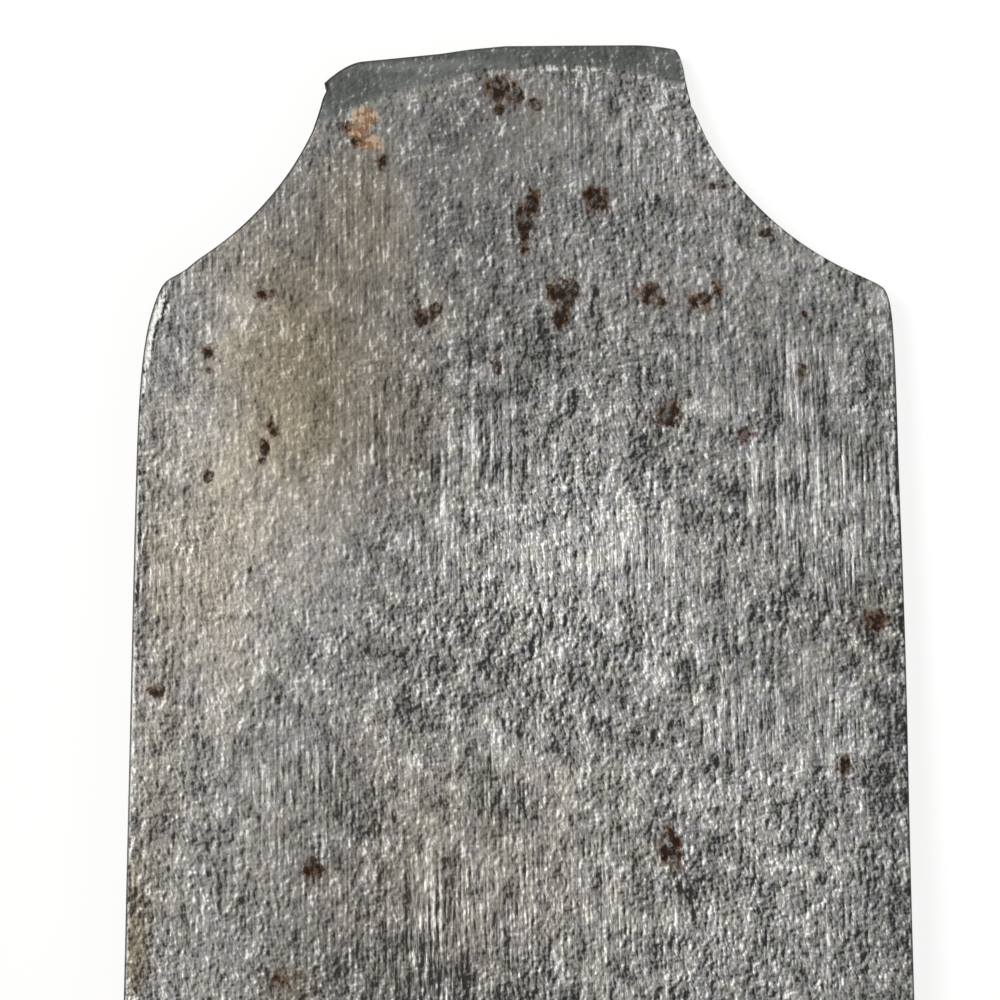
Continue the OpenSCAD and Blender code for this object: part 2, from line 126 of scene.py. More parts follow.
def start_group(name, values, colours, gives):
    """Opens a shader node group that takes a place, values and colours and gives named things."""
    group = bpy.data.node_groups.new(name, "ShaderNodeTree")
    sockets = [("Place", "INPUT", "Vector")]
    sockets += [(socket, "INPUT", "Float") for socket in values]
    sockets += [(socket, "INPUT", "Color") for socket in colours]
    sockets += [(socket, "OUTPUT", "Color" if socket == "Color" else "Float") for socket in gives]
    for socket, way, kind in sockets:
        group.interface.new_socket(socket, in_out=way, socket_type="NodeSocket" + kind)
    given = group.nodes.new("NodeGroupInput").outputs
    return group, given["Place"], given, group.nodes.new("NodeGroupOutput").inputs


def start_finish(name):
    """Opens a material, and returns it with its tree, its main shader and places in millimetres."""
    material = bpy.data.materials.new(name)
    material.use_nodes = True
    tree = material.node_tree
    where = fit(tree, "TexCoord").outputs["Object"]
    place = fit(tree, "VectorMath", {0: where, "Scale": 1000.0}, operation="SCALE").outputs[0]
    return material, tree, tree.nodes["Principled BSDF"], place


def make_wood_figure():
    """The figure of beech or box in the solid: growth rings, rays and pores, the grain along x."""
    group, place, given, gives = start_group(
        "wood figure", ["Pith Y", "Pith Z", "Ring Width"], [], ["Rings", "Rays", "Pores", "Clouds"])
    clouds = grains(group, place, (0.008, 0.035, 0.035), 2.0)
    wander = grains(group, place, (0.006, 0.05, 0.05), 1.0, 0.4, (31, 7, 3))
    axes = fit(group, "SeparateXYZ", {0: place}).outputs
    sway = times(group, wander, 9.0, -4.5)
    across = plus(group, work_out(group, "SUBTRACT", axes[1], given["Pith Y"]), sway)
    rise = plus(group, work_out(group, "SUBTRACT", axes[2], given["Pith Z"]), sway)
    squares = [times(group, side, side) for side in (across, rise)]
    radius = work_out(group, "SQRT", plus(group, *squares))
    turn = work_out(group, "ARCTAN2", across, rise)
    year = work_out(group, "FRACT", work_out(group, "DIVIDE", radius, given["Ring Width"]))
    # Each ring darkens slowly and ends in a thin dark line of late wood
    rings = times(group, work_out(group, "POWER", year, 3.0), spread(group, year, 1.0, 0.86))
    ray_axes = {0: axes[0], 1: times(group, turn, 100.0), 2: radius}
    ray_place = fit(group, "CombineXYZ", ray_axes).outputs[0]
    rays = grains(group, ray_place, (0.60, 4.2, 0.16), 1.0, 0.4)
    pores = grains(group, place, (0.16, 4.2, 4.2), 2.0, 0.6, (5, 11, 2))
    lead(group, gives, {"Rings": rings, "Rays": spread(group, rays, 0.57, 0.70),
                        "Pores": spread(group, pores, 0.50, 0.72), "Clouds": clouds})
    return group


def make_handled_wood():
    """What hands and the bench do to wood: grime in the hollows, pale rubbed arrises, scratches."""
    group, place, given, gives = start_group(
        "handled wood", ["Edge", "Hollow"], ["Wood", "Grime", "Rubbed"],
        ["Color", "Roughness", "Height"])
    blotch = grains(group, place, (0.05, 0.06, 0.06), 5.0, 0.6, (3, 9, 4))
    specks = grains(group, place, (0.9, 0.9, 0.9), 3.0, 0.65)
    knocks = grains(group, place, (0.22, 0.30, 0.30), 4.0, 0.7, (8, 1, 6))
    grime = spread(group, blotch, 0.50, 0.74, 0.0, 0.38)
    for dirt in (times(group, given["Hollow"], 0.85), spread(group, specks, 0.66, 0.74, 0.0, 0.7)):
        grime = work_out(group, "MAXIMUM", grime, dirt)
    rubbed = times(group, given["Edge"], spread(group, knocks, 0.40, 0.60))
    dirty = blend(group, grime, given["Wood"], given["Grime"])
    colour = blend(group, times(group, rubbed, 0.65), dirty, given["Rubbed"])
    rough = plus(group, spread(group, blotch, 0.3, 0.7, 0.36, 0.50), times(group, grime, 0.16))
    height = plus(group, times(group, knocks, 0.6), times(group, grime, -0.3))
    lead(group, gives, {"Color": colour, "Roughness": rough, "Height": height})
    return group


wood_figure = make_wood_figure()
handled_wood = make_handled_wood()


def wood_finish(name, colours, pith, ring_width, turn=0.0, upright=False):
    """A finish for one wooden piece. pith is where the tree's middle lies, across the grain."""
    pale, dark, rubbed = colours
    material, tree, shader, place = start_finish(name)
    angles = (0.0, math.radians(90) if upright else turn, 0.0)
    facing = fit(tree, "TexCoord").outputs["Normal"]
    along, facing = [fit(tree, "VectorRotate", {"Vector": way, "Rotation": angles},
                         rotation_type="EULER_XYZ").outputs[0] for way in (place, facing)]
    lengthwise = work_out(tree, "ABSOLUTE", fit(tree, "SeparateXYZ", {0: facing}).outputs[0])
    seen = use(tree, wood_figure, Place=along, Pith_Y=pith[0], Pith_Z=pith[1], Ring_Width=ring_width)
    colour = blend(tree, spread(tree, seen["Clouds"], 0.3, 0.7), pale, dark)
    deep = tuple(0.45 * c for c in dark[:3]) + (1,)
    for mark, share, tone in (("Rings", 0.85, dark), ("Rays", 0.34, deep), ("Pores", 0.35, deep)):
        colour = blend(tree, times(tree, seen[mark], share), colour, tone)
    # End grain drinks in more oil and dirt
    colour = blend(tree, spread(tree, lengthwise, 0.70, 0.95, 0.0, 0.42), colour, deep)
    # Skin and sweat have darkened and polished the places that were held
    held = fit(tree, "Attribute", attribute_name="palmed").outputs["Fac"]
    sweat = grains(tree, along, (0.03, 0.07, 0.07), 4.0, 0.6, (2, 6, 8))
    held = times(tree, held, spread(tree, sweat, 0.25, 0.60, 0.35, 1.0))
    colour = blend(tree, times(tree, held, 0.62), colour, PALMED)
    pointed = fit(tree, "NewGeometry").outputs["Pointiness"]
    shut_in = fit(tree, "AmbientOcclusion", {"Distance": 9 * MM}, samples=6).outputs["AO"]
    used = use(tree, handled_wood, Place=place, Wood=colour, Grime=GRIME, Rubbed=rubbed,
               Edge=spread(tree, pointed, 0.515, 0.57), Hollow=spread(tree, shut_in, 0.75, 0.25))
    relief = plus(tree, used["Height"], times(tree, seen["Pores"], -0.35))
    relief = times(tree, seen["Rays"], -0.06, relief)
    bump = fit(tree, "Bump", {"Height": relief, "Strength": 0.35, "Distance": 0.25 * MM})
    lead(tree, shader.inputs, {
        "Base Color": used["Color"], "Normal": bump.outputs[0],
        "Roughness": times(tree, held, -0.10, used["Roughness"])})
    shader.inputs["Specular IOR Level"].default_value = 0.42
    return material


def settle(piece):
    """Makes a piece's modifiers part of its mesh."""
    graph = bpy.context.evaluated_depsgraph_get()
    mesh = bpy.data.meshes.new_from_object(piece.evaluated_get(graph))
    piece.modifiers.clear()
    piece.data = mesh
    mesh.shade_smooth()


def put_in_scene(name, data):
    """Makes an object of a mesh, a lamp or a camera, and puts it in the scene."""
    thing = bpy.data.objects.new(name, data)
    bpy.context.scene.collection.objects.link(thing)
    return thing


def dense_copy(node, name, voxel, rounds):
    """A dense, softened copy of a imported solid, on which wear can be carved."""
    piece = put_in_scene(name, frame["nodes"][node].data.copy())
    piece.data.materials.clear()
    piece.modifiers.new("weld", "WELD").merge_threshold = WELD_WITHIN
    remesh = piece.modifiers.new("remesh", "REMESH")
    remesh.mode, remesh.voxel_size = "VOXEL", voxel
    soften = piece.modifiers.new("soften", "SMOOTH")
    soften.factor, soften.iterations = 0.5, rounds
    settle(piece)
    return piece


def points_of(mesh):
    """A mesh's vertices, in millimetres."""
    at = np.empty(len(mesh.vertices) * 3)
    mesh.vertices.foreach_get("co", at)
    return at.reshape(-1, 3) / MM


def move_points(mesh, points):
    """Puts a mesh's vertices at the given places, in millimetres."""
    mesh.vertices.foreach_set("co", (points * MM).ravel())
    mesh.update()


def normals_of(mesh):
    """The direction in which a mesh's surface looks at each vertex."""
    out = np.empty(len(mesh.vertices) * 3)
    mesh.vertex_normals.foreach_get("vector", out)
    return out.reshape(-1, 3)


def bruise(piece, knocks):
    """Presses dents into a piece. Each knock is a place, a radius and a depth in millimetres."""
    points, outward = points_of(piece.data), normals_of(piece.data)
    sunk = np.zeros(len(points))
    for place, radius, depth in knocks:
        near = np.linalg.norm(points - place, axis=1) / radius
        sunk = np.maximum(sunk, depth * np.clip(1 - near ** 2, 0, 1) ** 2)
    move_points(piece.data, points - outward * sunk[:, None])


def ripple(piece, height, per_mm, seed):
    """Gives a piece the faint unevenness of wood worked by hand and moved by seasons."""
    points, outward = points_of(piece.data), normals_of(piece.data)
    shift = Vector((seed, 0, 0))
    lift = np.array([noise.noise(Vector(p * per_mm) + shift) for p in points])
    move_points(piece.data, points + outward * (height * lift)[:, None])


def keep_inside(piece, node):
    """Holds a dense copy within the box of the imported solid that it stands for."""
    low, high = [np.array(corner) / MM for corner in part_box(node)]
    move_points(piece.data, np.clip(points_of(piece.data), low, high))


def darken_by_hand(piece, places):
    """Marks where hands have darkened a piece. Each place is a middle, a reach and a strength."""
    points = points_of(piece.data)
    field = np.zeros(len(points))
    for middle, reach, strength in places:
        field += strength * np.exp(-(((points - middle) / reach) ** 2).sum(1))
    layer = piece.data.attributes.new("palmed", "FLOAT", "POINT")
    layer.data.foreach_set("value", np.clip(field, 0, 1).astype(np.float32))


def knocks_along(rng, start, end, count, radius, depth):
    """Random knocks along one arris."""
    start, end = np.array(start, float), np.array(end, float)
    return [(start + (end - start) * rng.random(), radius * (0.5 + rng.random()),
             depth * rng.random() ** 2) for _ in range(count)]


stock = dense_copy("stock", "stock_block", STOCK_VOXEL, rounds=2)
rng = np.random.default_rng(11)
stock_knocks = []
for side in (-1, 1):
    y = side * STOCK_HALF_W
    # The arris of the sole and the two arrises of the chamfer
    for across, up, *knocks in ((y, 0, 18, 1.9, 0.5), (y, STOCK_H - CHAMFER, 24, 2.6, 0.6),
                                (y - side * CHAMFER, STOCK_H, 26, 2.6, 0.7)):
        stock_knocks += knocks_along(rng, (-STOCK_HALF_L, across, up),
                                     (STOCK_HALF_L, across, up), *knocks)
    end = side * STOCK_HALF_L
    stock_knocks += knocks_along(rng, (end, -30, 0), (end, 30, 0), 8, 2.4, 0.8)
    stock_knocks += knocks_along(rng, (end, -30, 60), (end, 30, 60), 12, 3.0, 0.9)
# Hammer marks where the heel was struck to back the iron off, and loose dents on the flanks
for _ in range(9):
    heel = np.array([-STOCK_HALF_L, rng.normal(0, 9), 36 + rng.normal(0, 8)])
    stock_knocks.append((heel, 6.0, 0.6))
for _ in range(60):
    flank = np.array([rng.uniform(-195, 195), rng.choice([-1, 1]) * STOCK_HALF_W,
                      rng.uniform(6, 58)])
    stock_knocks.append((flank, rng.uniform(2, 5), 0.5 * rng.random() ** 2))
bruise(stock, stock_knocks)
ripple(stock, height=0.16, per_mm=0.035, seed=3.0)
keep_inside(stock, "stock")
# The left hand held the toe, the right hand the tote, and both lifted the plane by its flanks
held_places = [((150, 0, STOCK_H), (50, 45, 12), 0.45), ((-135, 0, STOCK_H), (64, 45, 8), 0.50),
               ((20, 0, STOCK_H), (30, 45, 10), 0.30), ((-STOCK_HALF_L, 0, 40), (8, 30, 22), 0.35)]
for side in (-1, 1):
    held_places += [((145, side * STOCK_HALF_W, 48), (48, 10, 22), 0.75),
                    ((-40, side * STOCK_HALF_W, 40), (60, 10, 26), 0.28)]
darken_by_hand(stock, held_places)
stock.data.materials.append(wood_finish("old beech", BEECH, pith=(14.0, -96.0), ring_width=3.4))
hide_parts("stock")
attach(stock, "stock")

# The tote. An open handle sawn from a beech plank and rounded with rasps, its foot glued
# and screwed into a mortise in the stock. The palm has polished it dark.

PALMED_BEECH = (0.31, 0.160, 0.062, 1), (0.16, 0.072, 0.030, 1), (0.45, 0.26, 0.12, 1)
TOTE_VOXEL = 0.8 * MM

tote = dense_copy("tote", "tote_grip", TOTE_VOXEL, rounds=3)
tote_low, tote_high = [np.array(c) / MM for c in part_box("tote")]
rng = np.random.default_rng(5)
tote_knocks = []
for side in (-1, 1):
    y = side * tote_high[1]
    tote_knocks += knocks_along(rng, (tote_low[0], y, 67), (tote_high[0], y, 67), 14, 2.2, 0.6)
    tote_knocks += knocks_along(rng, (tote_low[0], y * 0.7, tote_high[2] - 8),
                                (tote_low[0] + 70, y * 0.7, tote_high[2]), 16, 2.4, 0.7)
bruise(tote, tote_knocks)
ripple(tote, height=0.22, per_mm=0.06, seed=9.0)
keep_inside(tote, "tote")
tote_middle = (tote_low + tote_high) / 2
darken_by_hand(tote, [((tote_middle[0] - 12, 0, tote_middle[2] + 2), (30, 30, 20), 0.85),
                      ((tote_middle[0] - 15, 0, tote_high[2] - 6), (50, 30, 12), 0.35)])
tote.data.materials.append(
    wood_finish("palmed beech", PALMED_BEECH, pith=(-60.0, 40.0), ring_width=2.6))
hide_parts("tote")
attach(tote, "stock")

# The tote's screw, an iron wood screw whose head sits in a counterbore in the foot, its
# slot filled with old dirt. The same dark iron is used for the cap screw.

RUST_DARK = (0.020, 0.009, 0.004, 1)
RUST_WARM = (0.115, 0.052, 0.021, 1)
RUBBED_IRON = (0.5, 0.5, 0.49, 1)
IRON_TINT = (1.0, 0.985, 0.945, 1)
STAIN_TINT = (1.05, 0.90, 0.66, 1)


def blend_value(tree, share, first, second):
    """Mixes two values by a share from 0 to 1."""
    return fit(tree, "Mix", {0: share, 2: first, 3: second}, data_type="FLOAT").outputs[0]


def off_middle(tree, value):
    """How far a noise value lies from the middle of its range."""
    return work_out(tree, "ABSOLUTE", work_out(tree, "SUBTRACT", value, 0.5))


def make_forged_relief():
    """The height of old forged iron: pebbled scale, short lengthwise ridges and long fine lines."""
    group, place, given, gives = start_group("forged relief", ["Lines"], [], ["Height"])
    ridges = grains(group, place, (1.45, 2.2, 1.0), 2.5, 0.68)
    pebbles = grains(group, place, (2.5, 3.0, 1.0), 1.5, 0.62, (17, 3, 0))
    lines = grains(group, place, (0.22, 3.8, 1.0), 2.5, 0.65, (2, 29, 0))
    height = blend_value(group, 0.45, ridges, pebbles)
    height = blend_value(group, given["Lines"], height, lines)
    # Narrow crooked ridges that run along the iron
    crooked = grains(group, place, (0.45, 3.0, 1.0), 2.0, 0.55, (43, 5, 0))
    crest = spread(group, off_middle(group, crooked), 0.07, 0.0)
    raised = times(group, given["Lines"], 0.13)
    lead(group, gives, {"Height": times(group, crest, raised, height)})
    return group


def make_forged_grain_and_painted_light(relief):
    """Forged relief with painted side light: a painted highlight on one flank, painted shade on the
    other and in the pits, and painted glints on the crests.
    """
    group, place, given, gives = start_group("forged grain and painted light", ["Lines"], [], ["Grain_And_Painted_Light", "Painted_Glint_Share"])
    lines = given["Lines"]
    heights = []
    for toward in (1, -1, 0):
        step = (0.050 * toward, 0.080 * toward, 0)
        moved = fit(group, "VectorMath", {0: place, 1: step}, operation="ADD").outputs[0]
        heights.append(use(group, relief, Place=moved, Lines=lines)["Height"])
    slope = work_out(group, "SUBTRACT", heights[0], heights[1])
    swells = grains(group, place, (0.55, 0.80, 1.0), 3.0, 0.6, (7, 19, 0))
    level = work_out(group, "SUBTRACT", heights[2], 0.5)
    level = plus(group, level, times(group, swells, 0.7, -0.35))
    # Fine crooked cracks part the scale into pebbles
    parting = grains(group, place, (0.85, 1.35, 1.0), 3.0, 0.6, (37, 11, 0))
    cracks = work_out(group, "MAXIMUM", spread(group, heights[2], 0.40, 0.28),
                      spread(group, off_middle(group, parting), 0.030, 0.0))
    # Painted light: the slope between two nearby heights lights one flank and shades the other, and low
    # places are painted darker
    grain = times(group, slope, 1.10, times(group, level, 0.85, 0.515))
    grain = times(group, cracks, -0.05, grain)
    # Long strokes of the file
    strokes = grains(group, place, (0.09, 3.4, 1.0), 1.0, 0.5, (11, 23, 0))
    strokes = work_out(group, "MAXIMUM", work_out(group, "SUBTRACT", strokes, 0.5), -0.09)
    grain = times(group, strokes, times(group, lines, 0.70, 0.22), grain)
    # Painted glints where the crest rises
    crest = plus(group, slope, times(group, level, 0.6))
    lead(group, gives, {"Grain_And_Painted_Light": grain, "Painted_Glint_Share": spread(group, crest, 0.10, 0.26)})
    return group


def make_rust():
    """Rust: warm where it is thin, near black where it has eaten in. Eaten says where it is."""
    group, place, given, gives = start_group("rust", ["Eaten"], ["Metal"], ["Color", "Mask", "Pit"])
    ragged = grains(group, place, (0.9, 1.3, 1.0), 4.0, 0.65, (4, 13, 0))
    crumbs = grains(group, place, (1.7, 2.0, 1.0), 4.0, 0.65, (14, 3, 0))
    reach = plus(group, given["Eaten"], times(group, ragged, 1.7, -0.85))
    mask = spread(group, reach, 0.30, 0.62)
    deeper = plus(group, reach, times(group, crumbs, 1.2, -0.6))
    pit = spread(group, deeper, 0.50, 0.72)
    mask = times(group, mask, spread(group, crumbs, 0.36, 0.56, 0.30, 0.95))
    rust = blend(group, pit, RUST_WARM, RUST_DARK)
    colour = blend(group, mask, given["Metal"], rust)
    lead(group, gives, {"Color": colour, "Mask": mask, "Pit": pit})
    return group


def tinted(tree, value, brown, plain=IRON_TINT):
    """Turns a grey value into iron's faintly warm grey, or into tan where it is stained."""
    held = work_out(tree, "MAXIMUM", value, 0.02)
    grey = fit(tree, "CombineXYZ", {0: held, 1: held, 2: held}).outputs[0]
    tint = blend(tree, brown, plain, STAIN_TINT)
    return blend(tree, 1.0, grey, tint, "MULTIPLY")


forged_grain_painted_light = make_forged_grain_and_painted_light(make_forged_relief())
rust_group = make_rust()


def iron_finish(name, mean, contrast, rust_share, lines, rough, rubbed=0.6):
    """A finish for a plain iron piece: streaks with painted side light and painted glints, a little
    scattered rust, bright rubbed arrises.
    """
    material, tree, shader, place = start_finish(name)
    grain = use(tree, forged_grain_painted_light, Place=place, Lines=lines)
    stained = grains(tree, place, (0.10, 0.13, 0.13), 4.0, 0.6, (6, 2, 9))
    # The grain carries painted side light, and its glints are painted highlights
    value = times(tree, grain["Grain_And_Painted_Light"], contrast, mean - 0.5 * contrast)
    value = times(tree, grain["Painted_Glint_Share"], 0.6 * contrast, value)
    metal = tinted(tree, value, spread(tree, stained, 0.42, 0.75, 0.0, 0.75))
    pointed = fit(tree, "NewGeometry").outputs["Pointiness"]
    worn = blend(tree, spread(tree, pointed, 0.52, 0.62, 0.0, rubbed), metal, RUBBED_IRON)
    scattered = grains(tree, place, (0.22, 0.26, 0.3), 2.0, 0.5, (1, 8, 5))
    eaten = spread(tree, scattered, 0.72 - rust_share, 1.0 - rust_share)
    rust = use(tree, rust_group, Place=place, Eaten=eaten, Metal=worn)
    relief = times(tree, rust["Pit"], -0.4, grain["Grain_And_Painted_Light"])
    bump = fit(tree, "Bump", {"Height": relief, "Strength": 0.45, "Distance": 0.12 * MM})
    lead(tree, shader.inputs, {
        "Base Color": rust["Color"], "Normal": bump.outputs[0],
        "Metallic": times(tree, rust["Mask"], -0.85, 0.85),
        "Roughness": times(tree, rust["Mask"], 0.35, rough)})
    return material


def soften_arrises(node, width, segments=3):
    """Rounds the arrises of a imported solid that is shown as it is."""
    piece = frame["nodes"][node]
    piece.modifiers.new("weld", "WELD").merge_threshold = WELD_WITHIN
    rounding = piece.modifiers.new("arris", "BEVEL")
    rounding.width, rounding.segments = width, segments
    rounding.limit_method, rounding.angle_limit = "ANGLE", math.radians(35)
    rounding.use_clamp_overlap = True
    # Broad flats keep their own normals, so that no long triangle shows as a streak
    piece.modifiers.new("even", "WEIGHTED_NORMAL").mode = "FACE_AREA"


def dress(node, material):
    """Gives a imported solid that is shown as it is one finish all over."""
    mesh = frame["nodes"][node].data
    mesh.materials.clear()
    mesh.materials.append(material)


dark_iron = iron_finish("dark iron", mean=0.15, contrast=0.4, rust_share=0.10, lines=0.3,
                        rough=0.48)
soften_arrises("tote_screw", 0.15 * MM)
dress("tote_screw", dark_iron)

# The start. A plug of end-grain boxwood let into the top near the toe, struck with a
# hammer to loosen the wedge. Its crown is bruised flat and its rings stand out.

BOXWOOD = (0.58, 0.36, 0.155, 1), (0.33, 0.175, 0.070, 1), (0.70, 0.50, 0.27, 1)
START_VOXEL = 0.4 * MM

start = dense_copy("start_button", "start_plug", START_VOXEL, rounds=3)
start_low, start_high = [np.array(c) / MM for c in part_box("start_button")]
start_middle = (start_low + start_high) / 2
rng = np.random.default_rng(23)
start_knocks = []
for _ in range(22):
    off = rng.normal(0, 3.6, 2)
    struck = np.array([start_middle[0] + off[0], start_middle[1] + off[1],
                       start_high[2] - 0.04 * (off @ off)])
    start_knocks.append((struck, rng.uniform(1.6, 3.4), rng.uniform(0.1, 0.45)))
bruise(start, start_knocks)
keep_inside(start, "start_button")
start.data.materials.append(
    wood_finish("struck boxwood", BOXWOOD, pith=(start_middle[1], start_middle[0]),
                ring_width=1.3, upright=True))
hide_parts("start_button")
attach(start, "stock")

# The cutting iron. A plate of wrought iron, forged thinner towards its struck end, with a
# hollow filed out of each shoulder and a bevel beaten round the end by the hammer. Damp has
# stained its face and eaten small pits in it.

IRON_L, IRON_HALF_W, EDGE_T, END_T = 190.0, 27.0, 4.4, 2.6
STEEL_L, STEEL_T = 92.0, 1.3
GRIND = math.radians(28)
SLOT_W, SLOT_LOW, KEYHOLE_UP, KEYHOLE_D = 11.2, 48.0, 106.0, 23.0
TAPER = math.atan((EDGE_T - END_T) / IRON_L)
slide = next(j for j in frame["joints"] if j["name"] == "cap_slide")
LEAN = math.asin(-slide["axis"][2]) - TAPER
iron_low, iron_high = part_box("cutting_iron")
IRON_Y = (iron_low.y + iron_high.y) / 2 / MM
IRON_X, IRON_Z = -IRON_L / 2, IRON_L * math.sin(LEAN)
# The sides narrow evenly up to here
NARROWS_TO = 122.0
# The hollows are arcs about centres past the struck end
HOLLOW_R, HOLLOW_S, HOLLOW_OUT = 21.3, 192.2, {1: 33.45, -1: 32.7}
# Where the two sides meet the struck end
END_LEFT, END_RIGHT = 187.37, 188.9
# How deep the hammer's bevel, the pits and the waves in the face are
STRUCK_DEEP, PIT_DEEP, WAVE_DEEP = 0.85, 0.12, 0.05
# The arrises' radii, and how little of its roundness the worn one keeps
LEFT_ARRIS, RIGHT_ARRIS, END_ARRIS, WORN_FLAT = 0.26, 0.26, 0.22, 0.12
# How far the plate stays clear of the steel face, and where the steel ends
WELD_GAP, WELD_END = 0.02, STEEL_L + 0.03
# The mesh is fine from here up, and from END_FROM its rows bend to follow the struck end
FINE_FROM, FINE_STEP, END_FROM = 116.0, 0.22, 178.0
# Its points lie closer at the sides, where the arris is round
GRID_W, CLOSE_IN, EVEN_FROM = 51.85, [0.0, 0.03, 0.08, 0.16, 0.27, 0.42, 0.62], 0.85
# A distance past every arris
FAR_OFF = 9.0


def soft_min(a, b, k):
    """The lower of two curves, with their crossing rounded over k."""
    h = np.clip(0.5 + 0.5 * (b - a) / k, 0, 1)
    return b * (1 - h) + a * h - k * h * (1 - h)


def hump(x, middle, reach):
    """A smooth rise to 1 at a middle, almost gone at twice its reach."""
    return np.exp(-((x - middle) / reach) ** 2)


def side_at(s, side):
    """Half width at distance s from the edge. side is 1 towards the stock and -1 away from it."""
    narrowed = np.clip(s / NARROWS_TO, 0, 1)
    drop = np.clip(HOLLOW_R ** 2 - (s - HOLLOW_S) ** 2, 0, None)
    hollow = np.where(s > HOLLOW_S - HOLLOW_R, HOLLOW_OUT[side] - np.sqrt(drop), HOLLOW_OUT[side])
    if side > 0:
        # The shoulder nearest the stock is worn round, and the end has a small burr
        plain = IRON_HALF_W - 0.75 * narrowed - 0.35 * np.clip((s - NARROWS_TO) / 46.0, 0, 1)
        plain = plain - 0.032 * np.exp(np.minimum(s - 160.0, 14.0) / 3.2)
        hollow = hollow + 0.25 * np.clip((s - 183.5) / 2.5, 0, 1)
        burr = 0.30 * hump(s, 187.45, 0.3) - 0.06 * hump(s, 186.65, 0.3)
        return soft_min(hollow, plain, 0.6) + burr - 0.42 * hump(s, 173.4, 0.6)
    plain = IRON_HALF_W - narrowed + 0.2 * hump(s, 149.0, 15.0)
    plain = plain + 0.09 * hump(s, 165.5, 5.5)
    plain = plain - 0.06 * np.exp(np.minimum(s - 170.0, 3.0) / 0.9)
    hollow = hollow + 0.42 * np.clip((s - 185.8) / 3.0, 0, 1) ** 1.5 - 0.12 * hump(s, 182.0, 2.2)
    return soft_min(hollow, plain, 1.2) - 0.14 * hump(s, 184.9, 0.5)


def end_at(y):
    """How far the struck end reaches at y. It droops towards both corners."""
    left = 0.1 * np.clip((y - 3.0) / 2.0, 0, 1) + 0.095 * np.clip(y - 0.5, 0, None)
    left = left + 0.24 * np.clip(y - 10.6, 0, None) ** 1.75
    right = 0.035 * np.clip(-y - 8.3, 0, None) ** 2
    right = right + 0.8 * (np.clip(-y - 11.4, 0, None) / 0.5) ** 2
    return IRON_L - left - right


def bevel_at(y):
    """Where the struck bevel leaves the face at y."""
    off = y + 3.3
    return 188.2 - np.where(off > 0, 0.0143, 0.0190) * off ** 2


# Rust on the face: distance from the edge, place across, half length, half width, depth
SPOTS = [
    (183.6, 11.6, 0.6, 0.35, 0.2), (182.6, 10.9, 0.4, 0.5, 0.2), (181.3, 9.1, 0.6, 0.5, 0.05),
    (186.6, 1.1, 0.8, 0.8, 0.3), (186.2, -0.1, 0.8, 0.6, 0.25), (185.3, -1.6, 0.4, 0.5, 0.3),
    (184.9, 0.9, 0.3, 0.5, 0.15), (178.2, -1.2, 0.9, 0.6, 0.4), (176.4, -0.7, 1.5, 0.4, 0.45),
    (178.4, -5.7, 0.8, 0.6, 0.45), (177.7, -6.3, 0.5, 0.4, 0.45), (171.8, -3.4, 0.9, 0.9, 0.4),
    (170.1, -3.1, 0.9, 0.5, 0.4), (171.5, -9.2, 0.7, 0.8, 0.25), (171, -10, 0.4, 0.5, 0.2),
    (171.1, -13, 0.7, 0.8, 0.12), (171.9, -14, 0.7, 0.4, 0.08), (179.3, -14.1, 0.2, 0.9, 0.2),
    (175.9, -17.5, 0.3, 0.45, 0.3), (170, 6.3, 0.7, 0.6, 0.35), (170.6, 5.5, 0.3, 0.4, 0.3),
    (171.7, 17.2, 0.5, 0.7, 0.02), (167.6, 21.2, 0.6, 0.45, 0.25), (166.4, 21.1, 0.25, 0.25, 0.25),
    (162.3, 16.7, 0.7, 0.5, 0.3), (160.9, 17.2, 0.6, 0.3, 0.3), (160, 17.4, 0.35, 0.3, 0.35),
    (158.8, 21, 0.4, 0.35, 0.35), (166.4, 1.2, 0.6, 0.35, 0.35), (162.9, -10.7, 0.8, 0.8, 0.45),
    (161.5, -15.7, 0.5, 0.7, 0.25), (144.2, 24.3, 0.4, 0.6, 0.3), (132.1, 13.8, 0.6, 0.7, 0.35),
    (133.2, -10, 1, 0.7, 0.5), (138.5, -21.8, 0.8, 0.4, 0.25), (148.6, -24.2, 0.7, 0.7, 0.2),
    (124.6, 15.7, 0.7, 0.9, 0.05), (170, -19.9, 0.35, 0.3, 0.2), (165.9, -19.6, 0.6, 0.4, 0.25),
]
# Pale orange bloom, in the same way
BLOOM = [(184.5, 10.4, 0.7, 0.8, 1), (183.5, 10.8, 0.7, 0.6, 1), (182.6, 10, 0.5, 0.8, 1)]
# Brown stain: distance from the edge, place across, half length, half width, strength
BROWN = [
    (166.5, 15.3, 8, 3.8, 0.58), (168, 12, 12, 7.5, 0.25), (178.5, 10, 5, 3, 0.28),
    (162.5, 8, 5, 3.5, 0.2), (155, 20.5, 9, 4, 0.34), (150, 10, 30, 18, 0.1),
    (141, 24.5, 12, 2.2, 0.25), (127.5, 25.8, 5.5, 1.2, 0.7), (124, 15.5, 1.6, 2.2, 0.35),
    (185.5, 0, 5, 4.5, 0.22), (148.6, -23.5, 3, 4, 0.3), (153.5, -14.5, 2.5, 3, 0.2),
    (131, 4, 11, 17, 0.3), (170.5, -8, 3, 8, 0.16), (176, 19, 5, 5, 0.2),
    (167, 20.5, 2.6, 2.2, 0.22), (163.5, 14, 4.5, 2.6, 0.16), (156, 24.5, 8, 2, 0.18),
    (149, 20, 9, 3.5, 0.12), (172, 8, 8, 5, 0.1), (180.5, 12.5, 4, 3, 0.12),
]
